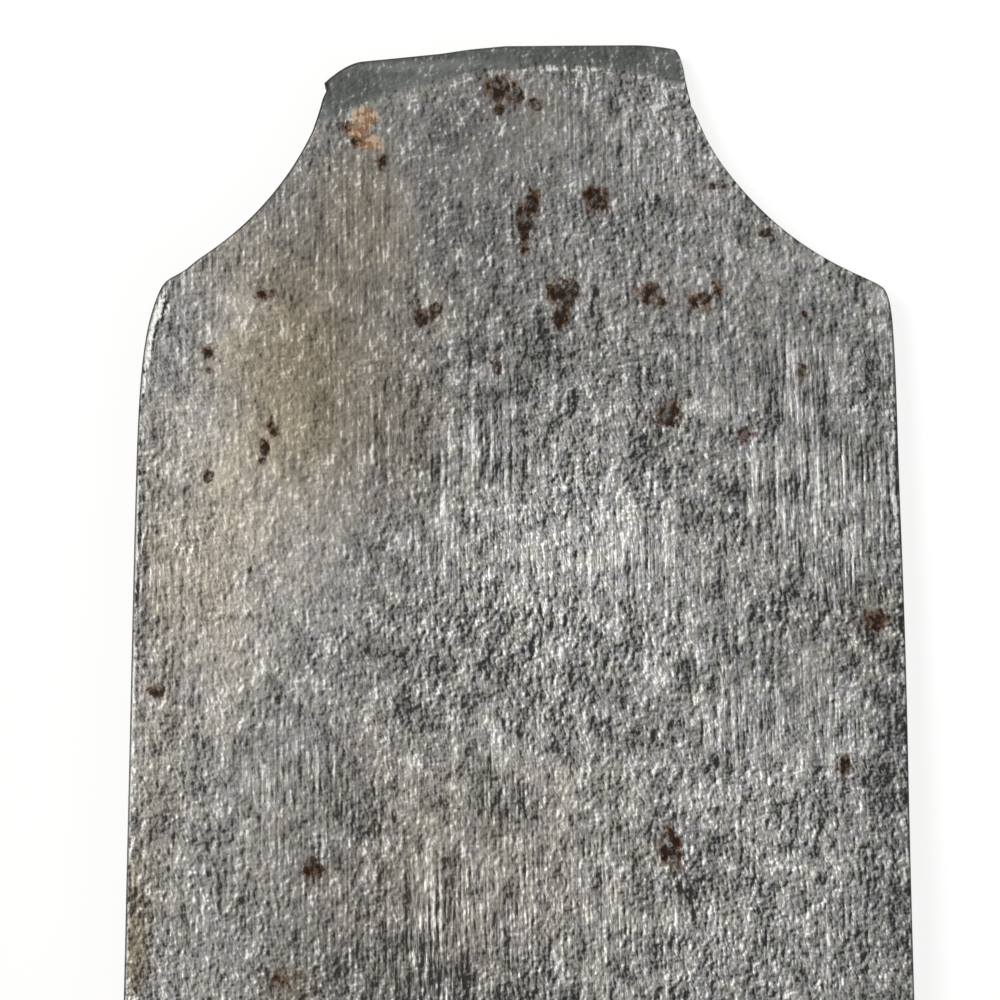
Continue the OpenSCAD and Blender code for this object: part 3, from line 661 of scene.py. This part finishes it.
# Lighter and darker places: the same, with a change of tone in place of the strength. Most are the
# face's own tone; the small bright ones near the shoulders are painted highlights and glints, and the
# long narrow dark ones along the sides are painted shade.
TONES_AND_PAINTED_LIGHT = [
    (154, 19, 11, 5, 0.075), (153.5, -4, 5, 6, 0.045), (163, 21, 6, 3, 0.03),
    (168.5, 12.5, 8, 4, -0.012), (178, 4, 7, 9, -0.028), (187, 14, 3, 4, -0.03),
    (166, 2.5, 5.5, 5.5, -0.022), (158.5, 6, 4, 4, -0.035), (157, -17, 7, 8, -0.02),
    (150, -24.5, 13, 2.4, -0.045), (148.5, -20, 4, 5, -0.035), (136.6, 1, 1.6, 2, -0.07),
    (124, 5, 4, 10, -0.075), (131, -10.5, 2.2, 2.2, -0.06), (130, 22, 7, 3.5, -0.02),
    (128, -24.5, 9, 2.2, -0.05), (130, 12, 9, 7, -0.045), (143, 11, 7, 9, -0.02),
    (147.5, 4, 4.5, 11, -0.02), (184.2, 4.5, 2.5, 2.5, -0.06), (180, -12, 3, 3, 0.015),
    (153.8, -7, 2.2, 7, 0.045), (166.5, -24, 5, 1.6, -0.035), (155, -23.5, 5, 2.5, 0.035),
    (165, -8, 6, 3, -0.025), (154.5, 25.4, 7, 1.1, -0.06), (128, 25.4, 7, 1.1, -0.045),
    (138, -26.2, 30, 0.35, -0.1), (173, -1, 14, 9, -0.012), (176, -8, 3, 3, -0.015),
    (170.5, 16.5, 2, 2, 0.035), (164.3, -20.3, 1.5, 1.2, -0.05), (169.5, -20.5, 1.2, 1, -0.04),
    (183.5, 6.2, 2, 0.7, 0.03), (171.2, -25.1, 0.9, 0.7, 0.16), (174.6, -14.7, 1, 0.25, 0.16),
    (171.3, 18.9, 0.8, 1.5, 0.08), (168.8, 19.6, 1.3, 1.1, 0.075), (170.7, 13.6, 0.8, 0.8, 0.06),
    (176.5, 7.2, 4, 1.2, 0.02), (163.6, 15.5, 1.2, 1.5, 0.03),
]
# Where the face is smooth under its stain, and where the grain stands out
CRISPNESS = [
    (176, 10, 14, 13, -0.3), (158, 14, 12, 8, -0.16), (153, -3, 10, 8, 0.3), (184, 0, 5, 8, -0.26),
    (184, -11, 5, 4, 0.1), (126, 14, 9, 8, -0.12), (132, -17, 14, 9, 0.18), (172, -14, 6, 6, -0.14),
    (136, 17, 14, 8, -0.1), (155.5, -20.5, 6, 5, 0.12), (154, 21.5, 4, 4, 0.1),
    (130, -4, 7, 7, 0.06), (155, 12.5, 5, 5, -0.08), (177, 3, 5, 4, -0.04), (156, -4.5, 5, 6, 0.05),
]
# Where long scratches of the file still show
COMBED = [(153.5, -2, 3.5, 8, 0.25), (131, 2, 8, 9, 0.25), (163, -20, 8, 3, 0.12)]
IRON_TONE = 0.160
IRON_CRISP = 0.70


def marks(s, y, rows):
    """How strongly each point lies in a list of marks. Each fades out at twice its half sizes."""
    field = np.zeros_like(s)
    for at, across, half_l, half_w, strength in rows:
        far = np.sqrt(((s - at) / half_l) ** 2 + ((y - across) / half_w) ** 2)
        field = np.maximum(field, strength * np.clip(1 - far / 2, 0, 1))
    return field


def clouds(s, y, rows):
    """The sum of a list of soft marks, each fading smoothly away."""
    field = np.zeros_like(s)
    for at, across, half_l, half_w, strength in rows:
        field += strength * np.exp(-((s - at) / half_l) ** 2 - ((y - across) / half_w) ** 2)
    return field


def rounded_off(distance, radius):
    """How far a rounded arris lies below the flat at this distance from it."""
    inside = np.clip(radius - distance, 0, radius)
    return radius - np.sqrt(radius ** 2 - inside ** 2)


def place_iron(s, y, n):
    """Turns distance from the edge, place across and height above the back into world metres."""
    x = IRON_X + s * math.cos(LEAN) + n * math.sin(LEAN)
    z = IRON_Z - s * math.sin(LEAN) + n * math.cos(LEAN)
    return np.stack([x, IRON_Y + y, z], -1) * MM


def plate_grid():
    """The face's mesh points: distance from the edge, place across, and what lies round them."""
    start_s = STEEL_T / math.tan(GRIND) + WELD_GAP
    under_steel = np.concatenate([np.linspace(start_s, 9.0, 5), np.linspace(11.0, WELD_END, 40)])
    plain = np.linspace(WELD_END, FINE_FROM, 14)
    fine = np.arange(FINE_FROM + FINE_STEP, END_FROM, FINE_STEP)
    near_end = np.concatenate([np.arange(0, 1, FINE_STEP / 11.0)[:-3],
                               [0.95, 0.975, 0.989, 0.997, 1.0]])
    # Each row is its distance from the edge on either side, and its share of the way to the end
    rows = [(s, s, s, 0.0, True) for s in under_steel]
    rows += [(s, s, s, 0.0, False) for s in np.concatenate([plain, fine])]
    left_end, right_end = end_at(side_at(END_LEFT, 1)), end_at(-side_at(END_RIGHT, -1))
    rows += [(END_FROM + (left_end - END_FROM) * v, END_FROM + (right_end - END_FROM) * v,
              END_FROM, v, False) for v in near_end]
    across = np.concatenate([CLOSE_IN, np.linspace(EVEN_FROM, GRID_W - EVEN_FROM, 226),
                             GRID_W - np.array(CLOSE_IN[::-1])]) / GRID_W
    end_y = side_at(END_LEFT, 1) - (side_at(END_LEFT, 1) + side_at(END_RIGHT, -1)) * across
    end_s = end_at(end_y)
    grid = []
    for s_left, s_right, s_base, v, steel in rows:
        left, right = side_at(s_left, 1), -side_at(s_right, -1)
        y = left + (right - left) * across
        s = s_base + (end_s - s_base) * v
        back = np.clip(EDGE_T - s * math.tan(GRIND), 0, None)
        end_gap = (end_s - s_base) * (1 - v) if v > 0 else np.full_like(y, FAR_OFF)
        grid.append((s, y, back, np.full_like(y, steel), end_gap))
    return [np.array(column) for column in zip(*grid)] + [end_s]


def close_plate(s, y, top, back):
    """The plate's points and faces: the grid of its face, plain sides, a plain back and front."""
    count, width = s.shape
    number = np.arange(count * width).reshape(count, width)
    # Round the rim, from the face down to the back: the left side, the end and the right side
    rim = np.concatenate([number[:, 0], number[-1, 1:-1], number[::-1, -1]])
    rim_s, rim_y, rim_top, rim_back = (a.ravel()[rim] for a in (s, y, top, back))
    thick = np.clip(rim_top - rim_back, 0.01, None)
    points, rings = place_iron(s, y, top).reshape(-1, 3), [rim]
    for inset, height in ((0.0, 0.30), (0.07, 0.09), (0.28, 0.0)):
        inset = np.minimum(inset, 0.1 * thick)
        ring_s = np.where(rim_s > END_FROM, rim_s - inset, rim_s)
        ring_y = rim_y - np.sign(rim_y) * np.minimum(inset, np.abs(rim_y))
        level = rim_back + np.minimum(height, 0.3 * thick)
        rings.append(len(points) + np.arange(len(rim)))
        points = np.concatenate([points, place_iron(ring_s, ring_y, level)])
    faces = [(number[i, j], number[i + 1, j], number[i + 1, j + 1], number[i, j + 1])
             for i in range(count - 1) for j in range(width - 1)]
    for upper, lower in zip(rings, rings[1:]):
        faces += [(upper[k], lower[k], lower[k + 1], upper[k + 1]) for k in range(len(rim) - 1)]
    last, pairs = rings[-1], count - 1
    faces += [(last[k], last[-1 - k], last[-2 - k], last[k + 1]) for k in range(pairs)]
    faces.append(last[pairs:len(last) - pairs])
    # The thin front, under the steel
    faces.append([*number[0], *(ring[-1] for ring in rings[1:]), *(ring[0] for ring in rings[:0:-1])])
    return points, [tuple(int(i) for i in face) for face in faces]


def closed_mesh(name, points, faces):
    """A mesh of a closed shape, with every face turned outward."""
    mesh = bpy.data.meshes.new(name)
    mesh.from_pydata(points.tolist(), [], faces)
    mesh.validate()
    shape = bmesh.new()
    shape.from_mesh(mesh)
    bmesh.ops.recalc_face_normals(shape, faces=shape.faces)
    shape.to_mesh(mesh)
    shape.free()
    return mesh


def forged_plate():
    """The plate's mesh, and on it the fields of marks that its finish reads."""
    s, y, back, steel, end_gap, end_s = plate_grid()
    left_gap, right_gap = np.abs(y[:, :1] - y), np.abs(y - y[:, -1:])
    worn_arris = LEFT_ARRIS + 0.30 * hump(s, 169.0, 3.5) + 0.24 * hump(s, 170.9, 1.2)
    # The worn arris ends in a fine step where it meets the face, darkened by a line of painted shade
    painted_step_shade = hump(left_gap - worn_arris, 0.11, 0.13) * np.exp(-((s - 169.9) / 2.0) ** 4)
    face = EDGE_T + (END_T - EDGE_T) * s / IRON_L
    share = np.clip((s - bevel_at(y)) / np.clip(end_s - bevel_at(y), 0.3, None), 0, 1)
    top = face - STRUCK_DEEP * share ** 1.2
    top = top - WORN_FLAT * rounded_off(left_gap, worn_arris) - rounded_off(right_gap, RIGHT_ARRIS)
    top = top - rounded_off(end_gap, END_ARRIS)
    top = top - PIT_DEEP * marks(s, y, SPOTS)
    waves = np.array([noise.noise(Vector((a * 0.11, b * 0.16, 3.1)))
                      for a, b in zip(s.ravel(), y.ravel())])
    top = top - WAVE_DEEP * (1.0 - waves.reshape(s.shape)) * (steel == 0)
    top = np.where(steel > 0, face - STEEL_T - WELD_GAP, top)
    top = np.maximum(top, back + WELD_GAP)
    points, faces = close_plate(s, y, top, back)
    mesh = closed_mesh("cutting_iron_plate", points, faces)
    # The worn arrises: partly rubbed bare metal, partly a painted highlight on the left one and painted
    # glints along the right one
    left_arris_wear_and_highlight = np.clip((worn_arris - left_gap) / 0.10 + 0.3, 0, 1) * np.clip((172.2 - s) / 0.4, 0, 1)
    right_arris_wear_and_glints = 0.42 * np.clip(1.3 - right_gap / 0.55, 0, 1)
    nearest_gap = np.minimum(np.minimum(left_gap, right_gap), end_gap)
    fields = {
        "eaten": marks(s, y, [row[:4] + (0.7 + row[4],) for row in SPOTS]),
        "bloom": marks(s, y, BLOOM),
        "brown": clouds(s, y, BROWN),
        "tone": IRON_TONE + clouds(s, y, TONES_AND_PAINTED_LIGHT) - 0.22 * painted_step_shade,
        "crisp": IRON_CRISP + clouds(s, y, CRISPNESS),
        "combed": clouds(s, y, COMBED),
        "struck": np.clip(s - bevel_at(y) + 0.5, 0, 1) * (steel == 0),
        "lip": clouds(s, y, [(188.4, 5.5, 0.35, 4.5, 1.0)]),
        # Painted glints: bright specks just below the struck bevel and on two small patches
        "glitter": hump(bevel_at(y) - s, 0.25, 0.28) * hump(y, -3.5, 6.5)
        + clouds(s, y, [(186.8, -4.2, 1.0, 1.6, 0.8)]) + clouds(s, y, [(184.9, -9.7, 2.2, 1.0, 0.7)]),
        "arris": np.maximum(left_arris_wear_and_highlight, right_arris_wear_and_glints) * (steel == 0),
        # A thin dark line of painted shade round the edges of the face
        "rim": np.clip(2.15 - nearest_gap / 0.09, 0, 1),
    }
    # Past the grid, on the sides and the back, the finish is plain and dark with painted shade
    beyond = {"rim": 1.0, "tone": IRON_TONE, "crisp": IRON_CRISP}
    for name, field in fields.items():
        layer = mesh.attributes.new(name, "FLOAT", "POINT")
        rest = np.full(len(points) - field.size, beyond.get(name, 0.0))
        layer.data.foreach_set("value", np.concatenate([field.ravel(), rest]).astype(np.float32))
    return mesh


def slot_cutter():
    """What the slot and its keyhole take out of the plate: one upright prism."""
    half = SLOT_W / 2
    low = [(SLOT_LOW + half - half * math.sin(a), half * math.cos(a))
           for a in np.linspace(0, math.pi, 25)]
    meet = math.asin(half / (KEYHOLE_D / 2))
    round_hole = [(KEYHOLE_UP - KEYHOLE_D / 2 * math.cos(a), KEYHOLE_D / 2 * math.sin(a))
                  for a in np.linspace(-meet, meet - 2 * math.pi, 49)]
    outline = np.array(low + round_hole)
    count = len(outline)
    points = np.concatenate([place_iron(outline[:, 0], outline[:, 1], n) for n in (-2.0, 8.0)])
    faces = [tuple(range(count)), tuple(range(2 * count - 1, count - 1, -1))]
    faces += [(k, (k + 1) % count, count + (k + 1) % count, count + k) for k in range(count)]
    return closed_mesh("slot_cutter", points, faces)


cutting_iron = put_in_scene("cutting_iron_plate", forged_plate())
cutter = put_in_scene("slot_cutter", slot_cutter())
cut = cutting_iron.modifiers.new("slot", "BOOLEAN")
cut.operation, cut.object, cut.solver = "DIFFERENCE", cutter, "EXACT"
settle(cutting_iron)
bpy.data.objects.remove(cutter)

IRON_COOL = (0.99, 0.972, 0.975, 1)
IRON_GREENISH = (1.01, 1.0, 0.915, 1)
STRUCK_DARK = (0.038, 0.044, 0.039, 1)
STRUCK_PALE = (0.175, 0.183, 0.174, 1)
BARE_IRON_AND_HIGHLIGHT = (0.52, 0.52, 0.50, 1)
PAINTED_RIM_SHADE = (0.030, 0.031, 0.030, 1)
SALMON = (0.19, 0.095, 0.050, 1)
CREAM = (0.34, 0.255, 0.175, 1)


def forged_iron_finish():
    """The photographed face: crisp and bright in the middle, soft and brown near one shoulder."""
    material, tree, shader, place = start_finish("forged iron")
    names = "eaten bloom brown tone crisp combed struck lip glitter arris rim".split()
    field = {name: fit(tree, "Attribute", attribute_name=name).outputs["Fac"] for name in names}
    patches = grains(tree, place, (0.10, 0.12, 0.1), 3.0, 0.55, (9, 4, 0))
    cloudy = grains(tree, place, (0.22, 0.3, 0.2), 3.0, 0.6, (12, 40, 0))
    lines = plus(tree, spread(tree, patches, 0.42, 0.66, 0.05, 0.38), field["combed"])
    grain = use(tree, forged_grain_painted_light, Place=place, Lines=lines)
    # The grain carries painted side light, and its glints are painted highlights, strongest where the
    # face is crisp
    grain_with_painted_light = work_out(tree, "SUBTRACT", grain["Grain_And_Painted_Light"], 0.5)
    value = times(tree, grain_with_painted_light, field["crisp"], field["tone"])
    value = plus(tree, value, spread(tree, cloudy, 0.3, 0.7, -0.022, 0.022))
    painted_glints = times(tree, grain["Painted_Glint_Share"], spread(tree, field["crisp"], 0.4, 1.0, 0.07, 0.34))
    value = plus(tree, value, painted_glints)
    # Brown stain on a grey that wavers between cool and greenish
    uneven = times(tree, cloudy, 0.4, -0.2)
    stain = spread(tree, plus(tree, field["brown"], uneven), 0.0, 0.9)
    hue = grains(tree, place, (0.75, 0.95, 1.0), 2.0, 0.6, (21, 33, 0))
    grey = blend(tree, spread(tree, hue, 0.36, 0.64), IRON_COOL, IRON_GREENISH)
    metal = tinted(tree, value, stain, grey)
    # The struck bevel, paler along its lip. Its dark grey is partly the beaten metal's own and partly
    # painted shade on a face that slopes away
    paler = times(tree, field["lip"], 0.45, times(tree, cloudy, 0.9, -0.45))
    beaten = spread(tree, plus(tree, grain_with_painted_light, paler), -0.55, 0.55)
    beaten = blend(tree, beaten, STRUCK_DARK, STRUCK_PALE)
    edge = plus(tree, field["struck"], times(tree, grain_with_painted_light, 1.1))
    metal = blend(tree, spread(tree, edge, 0.25, 0.80), metal, beaten)
    # Bright specks below the bevel are painted glints; along the worn arrises the brightness is partly
    # rubbed bare metal and partly a painted highlight and painted glints
    specks = times(tree, grain_with_painted_light, 3.0)
    glint_specks_share = spread(tree, times(tree, field["glitter"], 0.55, specks), 0.50, 0.85, 0.0, 0.8)
    metal = blend(tree, times(tree, glint_specks_share, field["glitter"]), metal, BARE_IRON_AND_HIGHLIGHT)
    arris = spread(tree, plus(tree, field["arris"], specks), 0.30, 1.20, 0.0, 0.92)
    metal = blend(tree, arris, metal, BARE_IRON_AND_HIGHLIGHT)
    # Rust, and the pale bloom of fresh rust over it
    rust = use(tree, rust_group, Place=place, Eaten=field["eaten"], Metal=metal)
    lumps = grains(tree, place, (1.6, 1.9, 1.0), 3.0, 0.6, (3, 31, 0))
    ragged = plus(tree, field["bloom"], times(tree, lumps, 1.2, -0.6))
    bloom = times(tree, spread(tree, field["bloom"], 0.0, 0.2), ragged)
    crust = blend(tree, spread(tree, times(tree, grain_with_painted_light, 0.5, lumps), 0.44, 0.56), SALMON, CREAM)
    colour = blend(tree, spread(tree, bloom, 0.30, 0.55, 0.0, 0.85), rust["Color"], crust)
    # Painted shade: a dark line round the face's edges, and dark sides and back
    colour = blend(tree, times(tree, field["rim"], 0.9), colour, PAINTED_RIM_SHADE)
    bare = work_out(tree, "SUBTRACT", 0.9, times(tree, stain, 0.35))
    relief = times(tree, rust["Pit"], -0.8, times(tree, grain_with_painted_light, field["crisp"]))
    bump = fit(tree, "Bump", {"Height": relief, "Strength": 0.7, "Distance": 0.14 * MM})
    lead(tree, shader.inputs, {
        "Base Color": colour, "Normal": bump.outputs[0],
        "Metallic": times(tree, bare, work_out(tree, "SUBTRACT", 1.0, rust["Mask"])),
        "Specular IOR Level": times(tree, rust["Mask"], -0.18, 0.2),
        "Roughness": plus(tree, spread(tree, field["crisp"], 0.4, 1.1, 0.52, 0.40),
                          times(tree, rust["Mask"], 0.3))})
    return material


cutting_iron.data.materials.append(forged_iron_finish())
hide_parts("cutting_iron")
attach(cutting_iron, "double_iron")

# The steel face. A plate of cast steel forge-welded to the iron at the cutting edge, rubbed
# flat and bright on a stone. The weld shows as a fine line along the side.

steel = iron_finish("honed steel", mean=0.29, contrast=0.32, rust_share=0.0, lines=0.8,
                    rough=0.30, rubbed=0.0)
soften_arrises("steel_face", 0.08 * MM, segments=2)
dress("steel_face", steel)

# The cap iron. The second iron, sprung so that only its lip bears near the cutting edge and
# turns the shaving over. Wear and damp have left it brown in patches.

cap_finish = iron_finish("cap iron", mean=0.145, contrast=0.55, rust_share=0.12, lines=0.3,
                         rough=0.52)
soften_arrises("cap_iron", 0.3 * MM)
dress("cap_iron", cap_finish)

# The boss. A thick round nut turned from iron and riveted into the cap iron, tapped for the
# cap screw. Its rim is rubbed bright by the wedge.

boss_finish = iron_finish("turned boss", mean=0.19, contrast=0.4, rust_share=0.06, lines=0.1,
                          rough=0.44)
soften_arrises("cap_boss", 0.25 * MM)
dress("cap_boss", boss_finish)

# The cap screw. Its wide flat head pulls the two irons together through the slot, and its
# driver slot is chewed by a century of screwdrivers.

soften_arrises("cap_screw", 0.25 * MM)
dress("cap_screw", dark_iron)

# The wedge. Split beech, cut to two legs that straddle the boss, its head rounded for the
# hammer. It is back in the empty throat, lying on the bed.

SPLIT_BEECH = (0.37, 0.20, 0.080, 1), (0.19, 0.088, 0.036, 1), (0.52, 0.32, 0.16, 1)
WEDGE_VOXEL = 0.7 * MM

wedge = dense_copy("wedge", "wedge_block", WEDGE_VOXEL, rounds=2)
wedge_low, wedge_high = [np.array(c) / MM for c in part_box("wedge")]
rng = np.random.default_rng(17)
wedge_knocks = []
for _ in range(26):
    along = rng.uniform(0, 14)
    struck = np.array([wedge_low[0] + along, rng.normal(0, 11), wedge_high[2] - 14 + along])
    wedge_knocks.append((struck, rng.uniform(2, 5), rng.uniform(0.1, 0.7)))
bruise(wedge, wedge_knocks)
ripple(wedge, height=0.14, per_mm=0.05, seed=6.0)
keep_inside(wedge, "wedge")
darken_by_hand(wedge, [((wedge_low[0] + 18, 0, wedge_high[2] - 22), (30, 40, 30), 0.40)])
wedge.data.materials.append(
    wood_finish("wedge beech", SPLIT_BEECH, pith=(30.0, -70.0), ring_width=2.9,
                turn=math.radians(45)))
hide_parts("wedge")
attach(wedge, "wedge")

# The bench. A pale floor that shows white and keeps a soft shadow, in a white room. A window
# lights it softly from the left of the picture, and a lamp fills in from the lower right.

FLOOR_HALF = 6.0
# A hair below the sole, so that the two faces don't share one plane
FLOOR_LEVEL = -0.05 * MM
PAPER = (0.92, 0.92, 0.91, 1)
PAPER_GLOW, GLOW_SHARE = 1.06, 0.78
ROOM_LIGHT, ROOM_SEEN = 0.40, 1.0


def seen_itself(tree):
    """1 where a ray comes from the eye, a mirror or glass, and 0 where it only carries light."""
    path = fit(tree, "LightPath").outputs
    mirrored = work_out(tree, "MAXIMUM", path["Is Glossy Ray"], path["Is Transmission Ray"])
    return work_out(tree, "MAXIMUM", path["Is Camera Ray"], mirrored)


def soft_lamp(name, place, aim, size, watts):
    """Hangs a round lamp at a place, turned towards its aim."""
    lamp = bpy.data.lights.new(name, "AREA")
    lamp.shape, lamp.size, lamp.energy = "DISK", size, watts
    stand = put_in_scene(name, lamp)
    stand.location = place
    stand.rotation_mode = "QUATERNION"
    stand.rotation_quaternion = (Vector(aim) - Vector(place)).to_track_quat("-Z", "Y")


# White paper that glows to the eye and still takes a shadow
mesh = bpy.data.meshes.new("floor")
corners = [(x * FLOOR_HALF, y * FLOOR_HALF, FLOOR_LEVEL)
           for x, y in ((-1, -1), (1, -1), (1, 1), (-1, 1))]
mesh.from_pydata(corners, [], [(0, 1, 2, 3)])
floor = put_in_scene("floor", mesh)
material, tree, _, _ = start_finish("white paper")
tree.nodes.clear()
paper = fit(tree, "BsdfDiffuse", {"Color": PAPER}).outputs[0]
glow = fit(tree, "Emission", {"Color": (1, 1, 0.995, 1), "Strength": PAPER_GLOW}).outputs[0]
share = times(tree, seen_itself(tree), GLOW_SHARE)
mixed = fit(tree, "MixShader", {0: share, 1: paper, 2: glow}).outputs[0]
fit(tree, "OutputMaterial", {"Surface": mixed})
mesh.materials.append(material)
# A white room that is brighter to the eye than as a light
world = bpy.data.worlds.new("white room")
bpy.context.scene.world = world
world.use_nodes = True
tree = world.node_tree
tree.nodes.clear()
levels = {"Value": seen_itself(tree), "To Min": ROOM_LIGHT, "To Max": ROOM_SEEN}
strength = fit(tree, "MapRange", levels).outputs["Result"]
room = fit(tree, "Background", {"Color": (1, 1, 1, 1), "Strength": strength}).outputs[0]
fit(tree, "OutputWorld", {"Surface": room})
soft_lamp("window", place=(0.15, 0.45, 1.10), aim=(0.06, -0.10, 0.0), size=0.45, watts=9.0)
soft_lamp("fill", place=(-0.9, -1.1, 0.9), aim=(0.0, 0.0, 0.05), size=0.9, watts=6.5)

# The camera. It looks down on the struck end of the iron, leaning a little towards it, with
# the iron upright in the picture.

CAMERA_OFF = 230.0
CAMERA_AIM = (61.7, -106.88, 6.0)
CAMERA_PITCH = math.radians(10.0)
CAMERA_ROLL = math.radians(0.46)
CAMERA_LENS, SENSOR_W = 122.7, 36.0
NEAREST_SEEN, FARTHEST_SEEN = 0.01, 20.0

# Tilted and turned as it was for the photograph
data = bpy.data.cameras.new("camera")
data.lens, data.sensor_width = CAMERA_LENS, SENSOR_W
data.clip_start, data.clip_end = NEAREST_SEEN, FARTHEST_SEEN
camera = put_in_scene("camera", data)
back = Vector((-math.sin(CAMERA_PITCH), 0, math.cos(CAMERA_PITCH)))
up = Vector((math.cos(CAMERA_PITCH), 0, math.sin(CAMERA_PITCH)))
right = up.cross(back)
turned_up = up * math.cos(CAMERA_ROLL) + right * math.sin(CAMERA_ROLL)
turned_right = right * math.cos(CAMERA_ROLL) - up * math.sin(CAMERA_ROLL)
turn = Matrix((turned_right, turned_up, back)).transposed().to_4x4()
spot = (Vector(CAMERA_AIM) + back * CAMERA_OFF) * MM
camera.matrix_world = Matrix.Translation(spot) @ turn
bpy.context.scene.camera = camera
bpy.context.scene.view_settings.view_transform = "Standard"
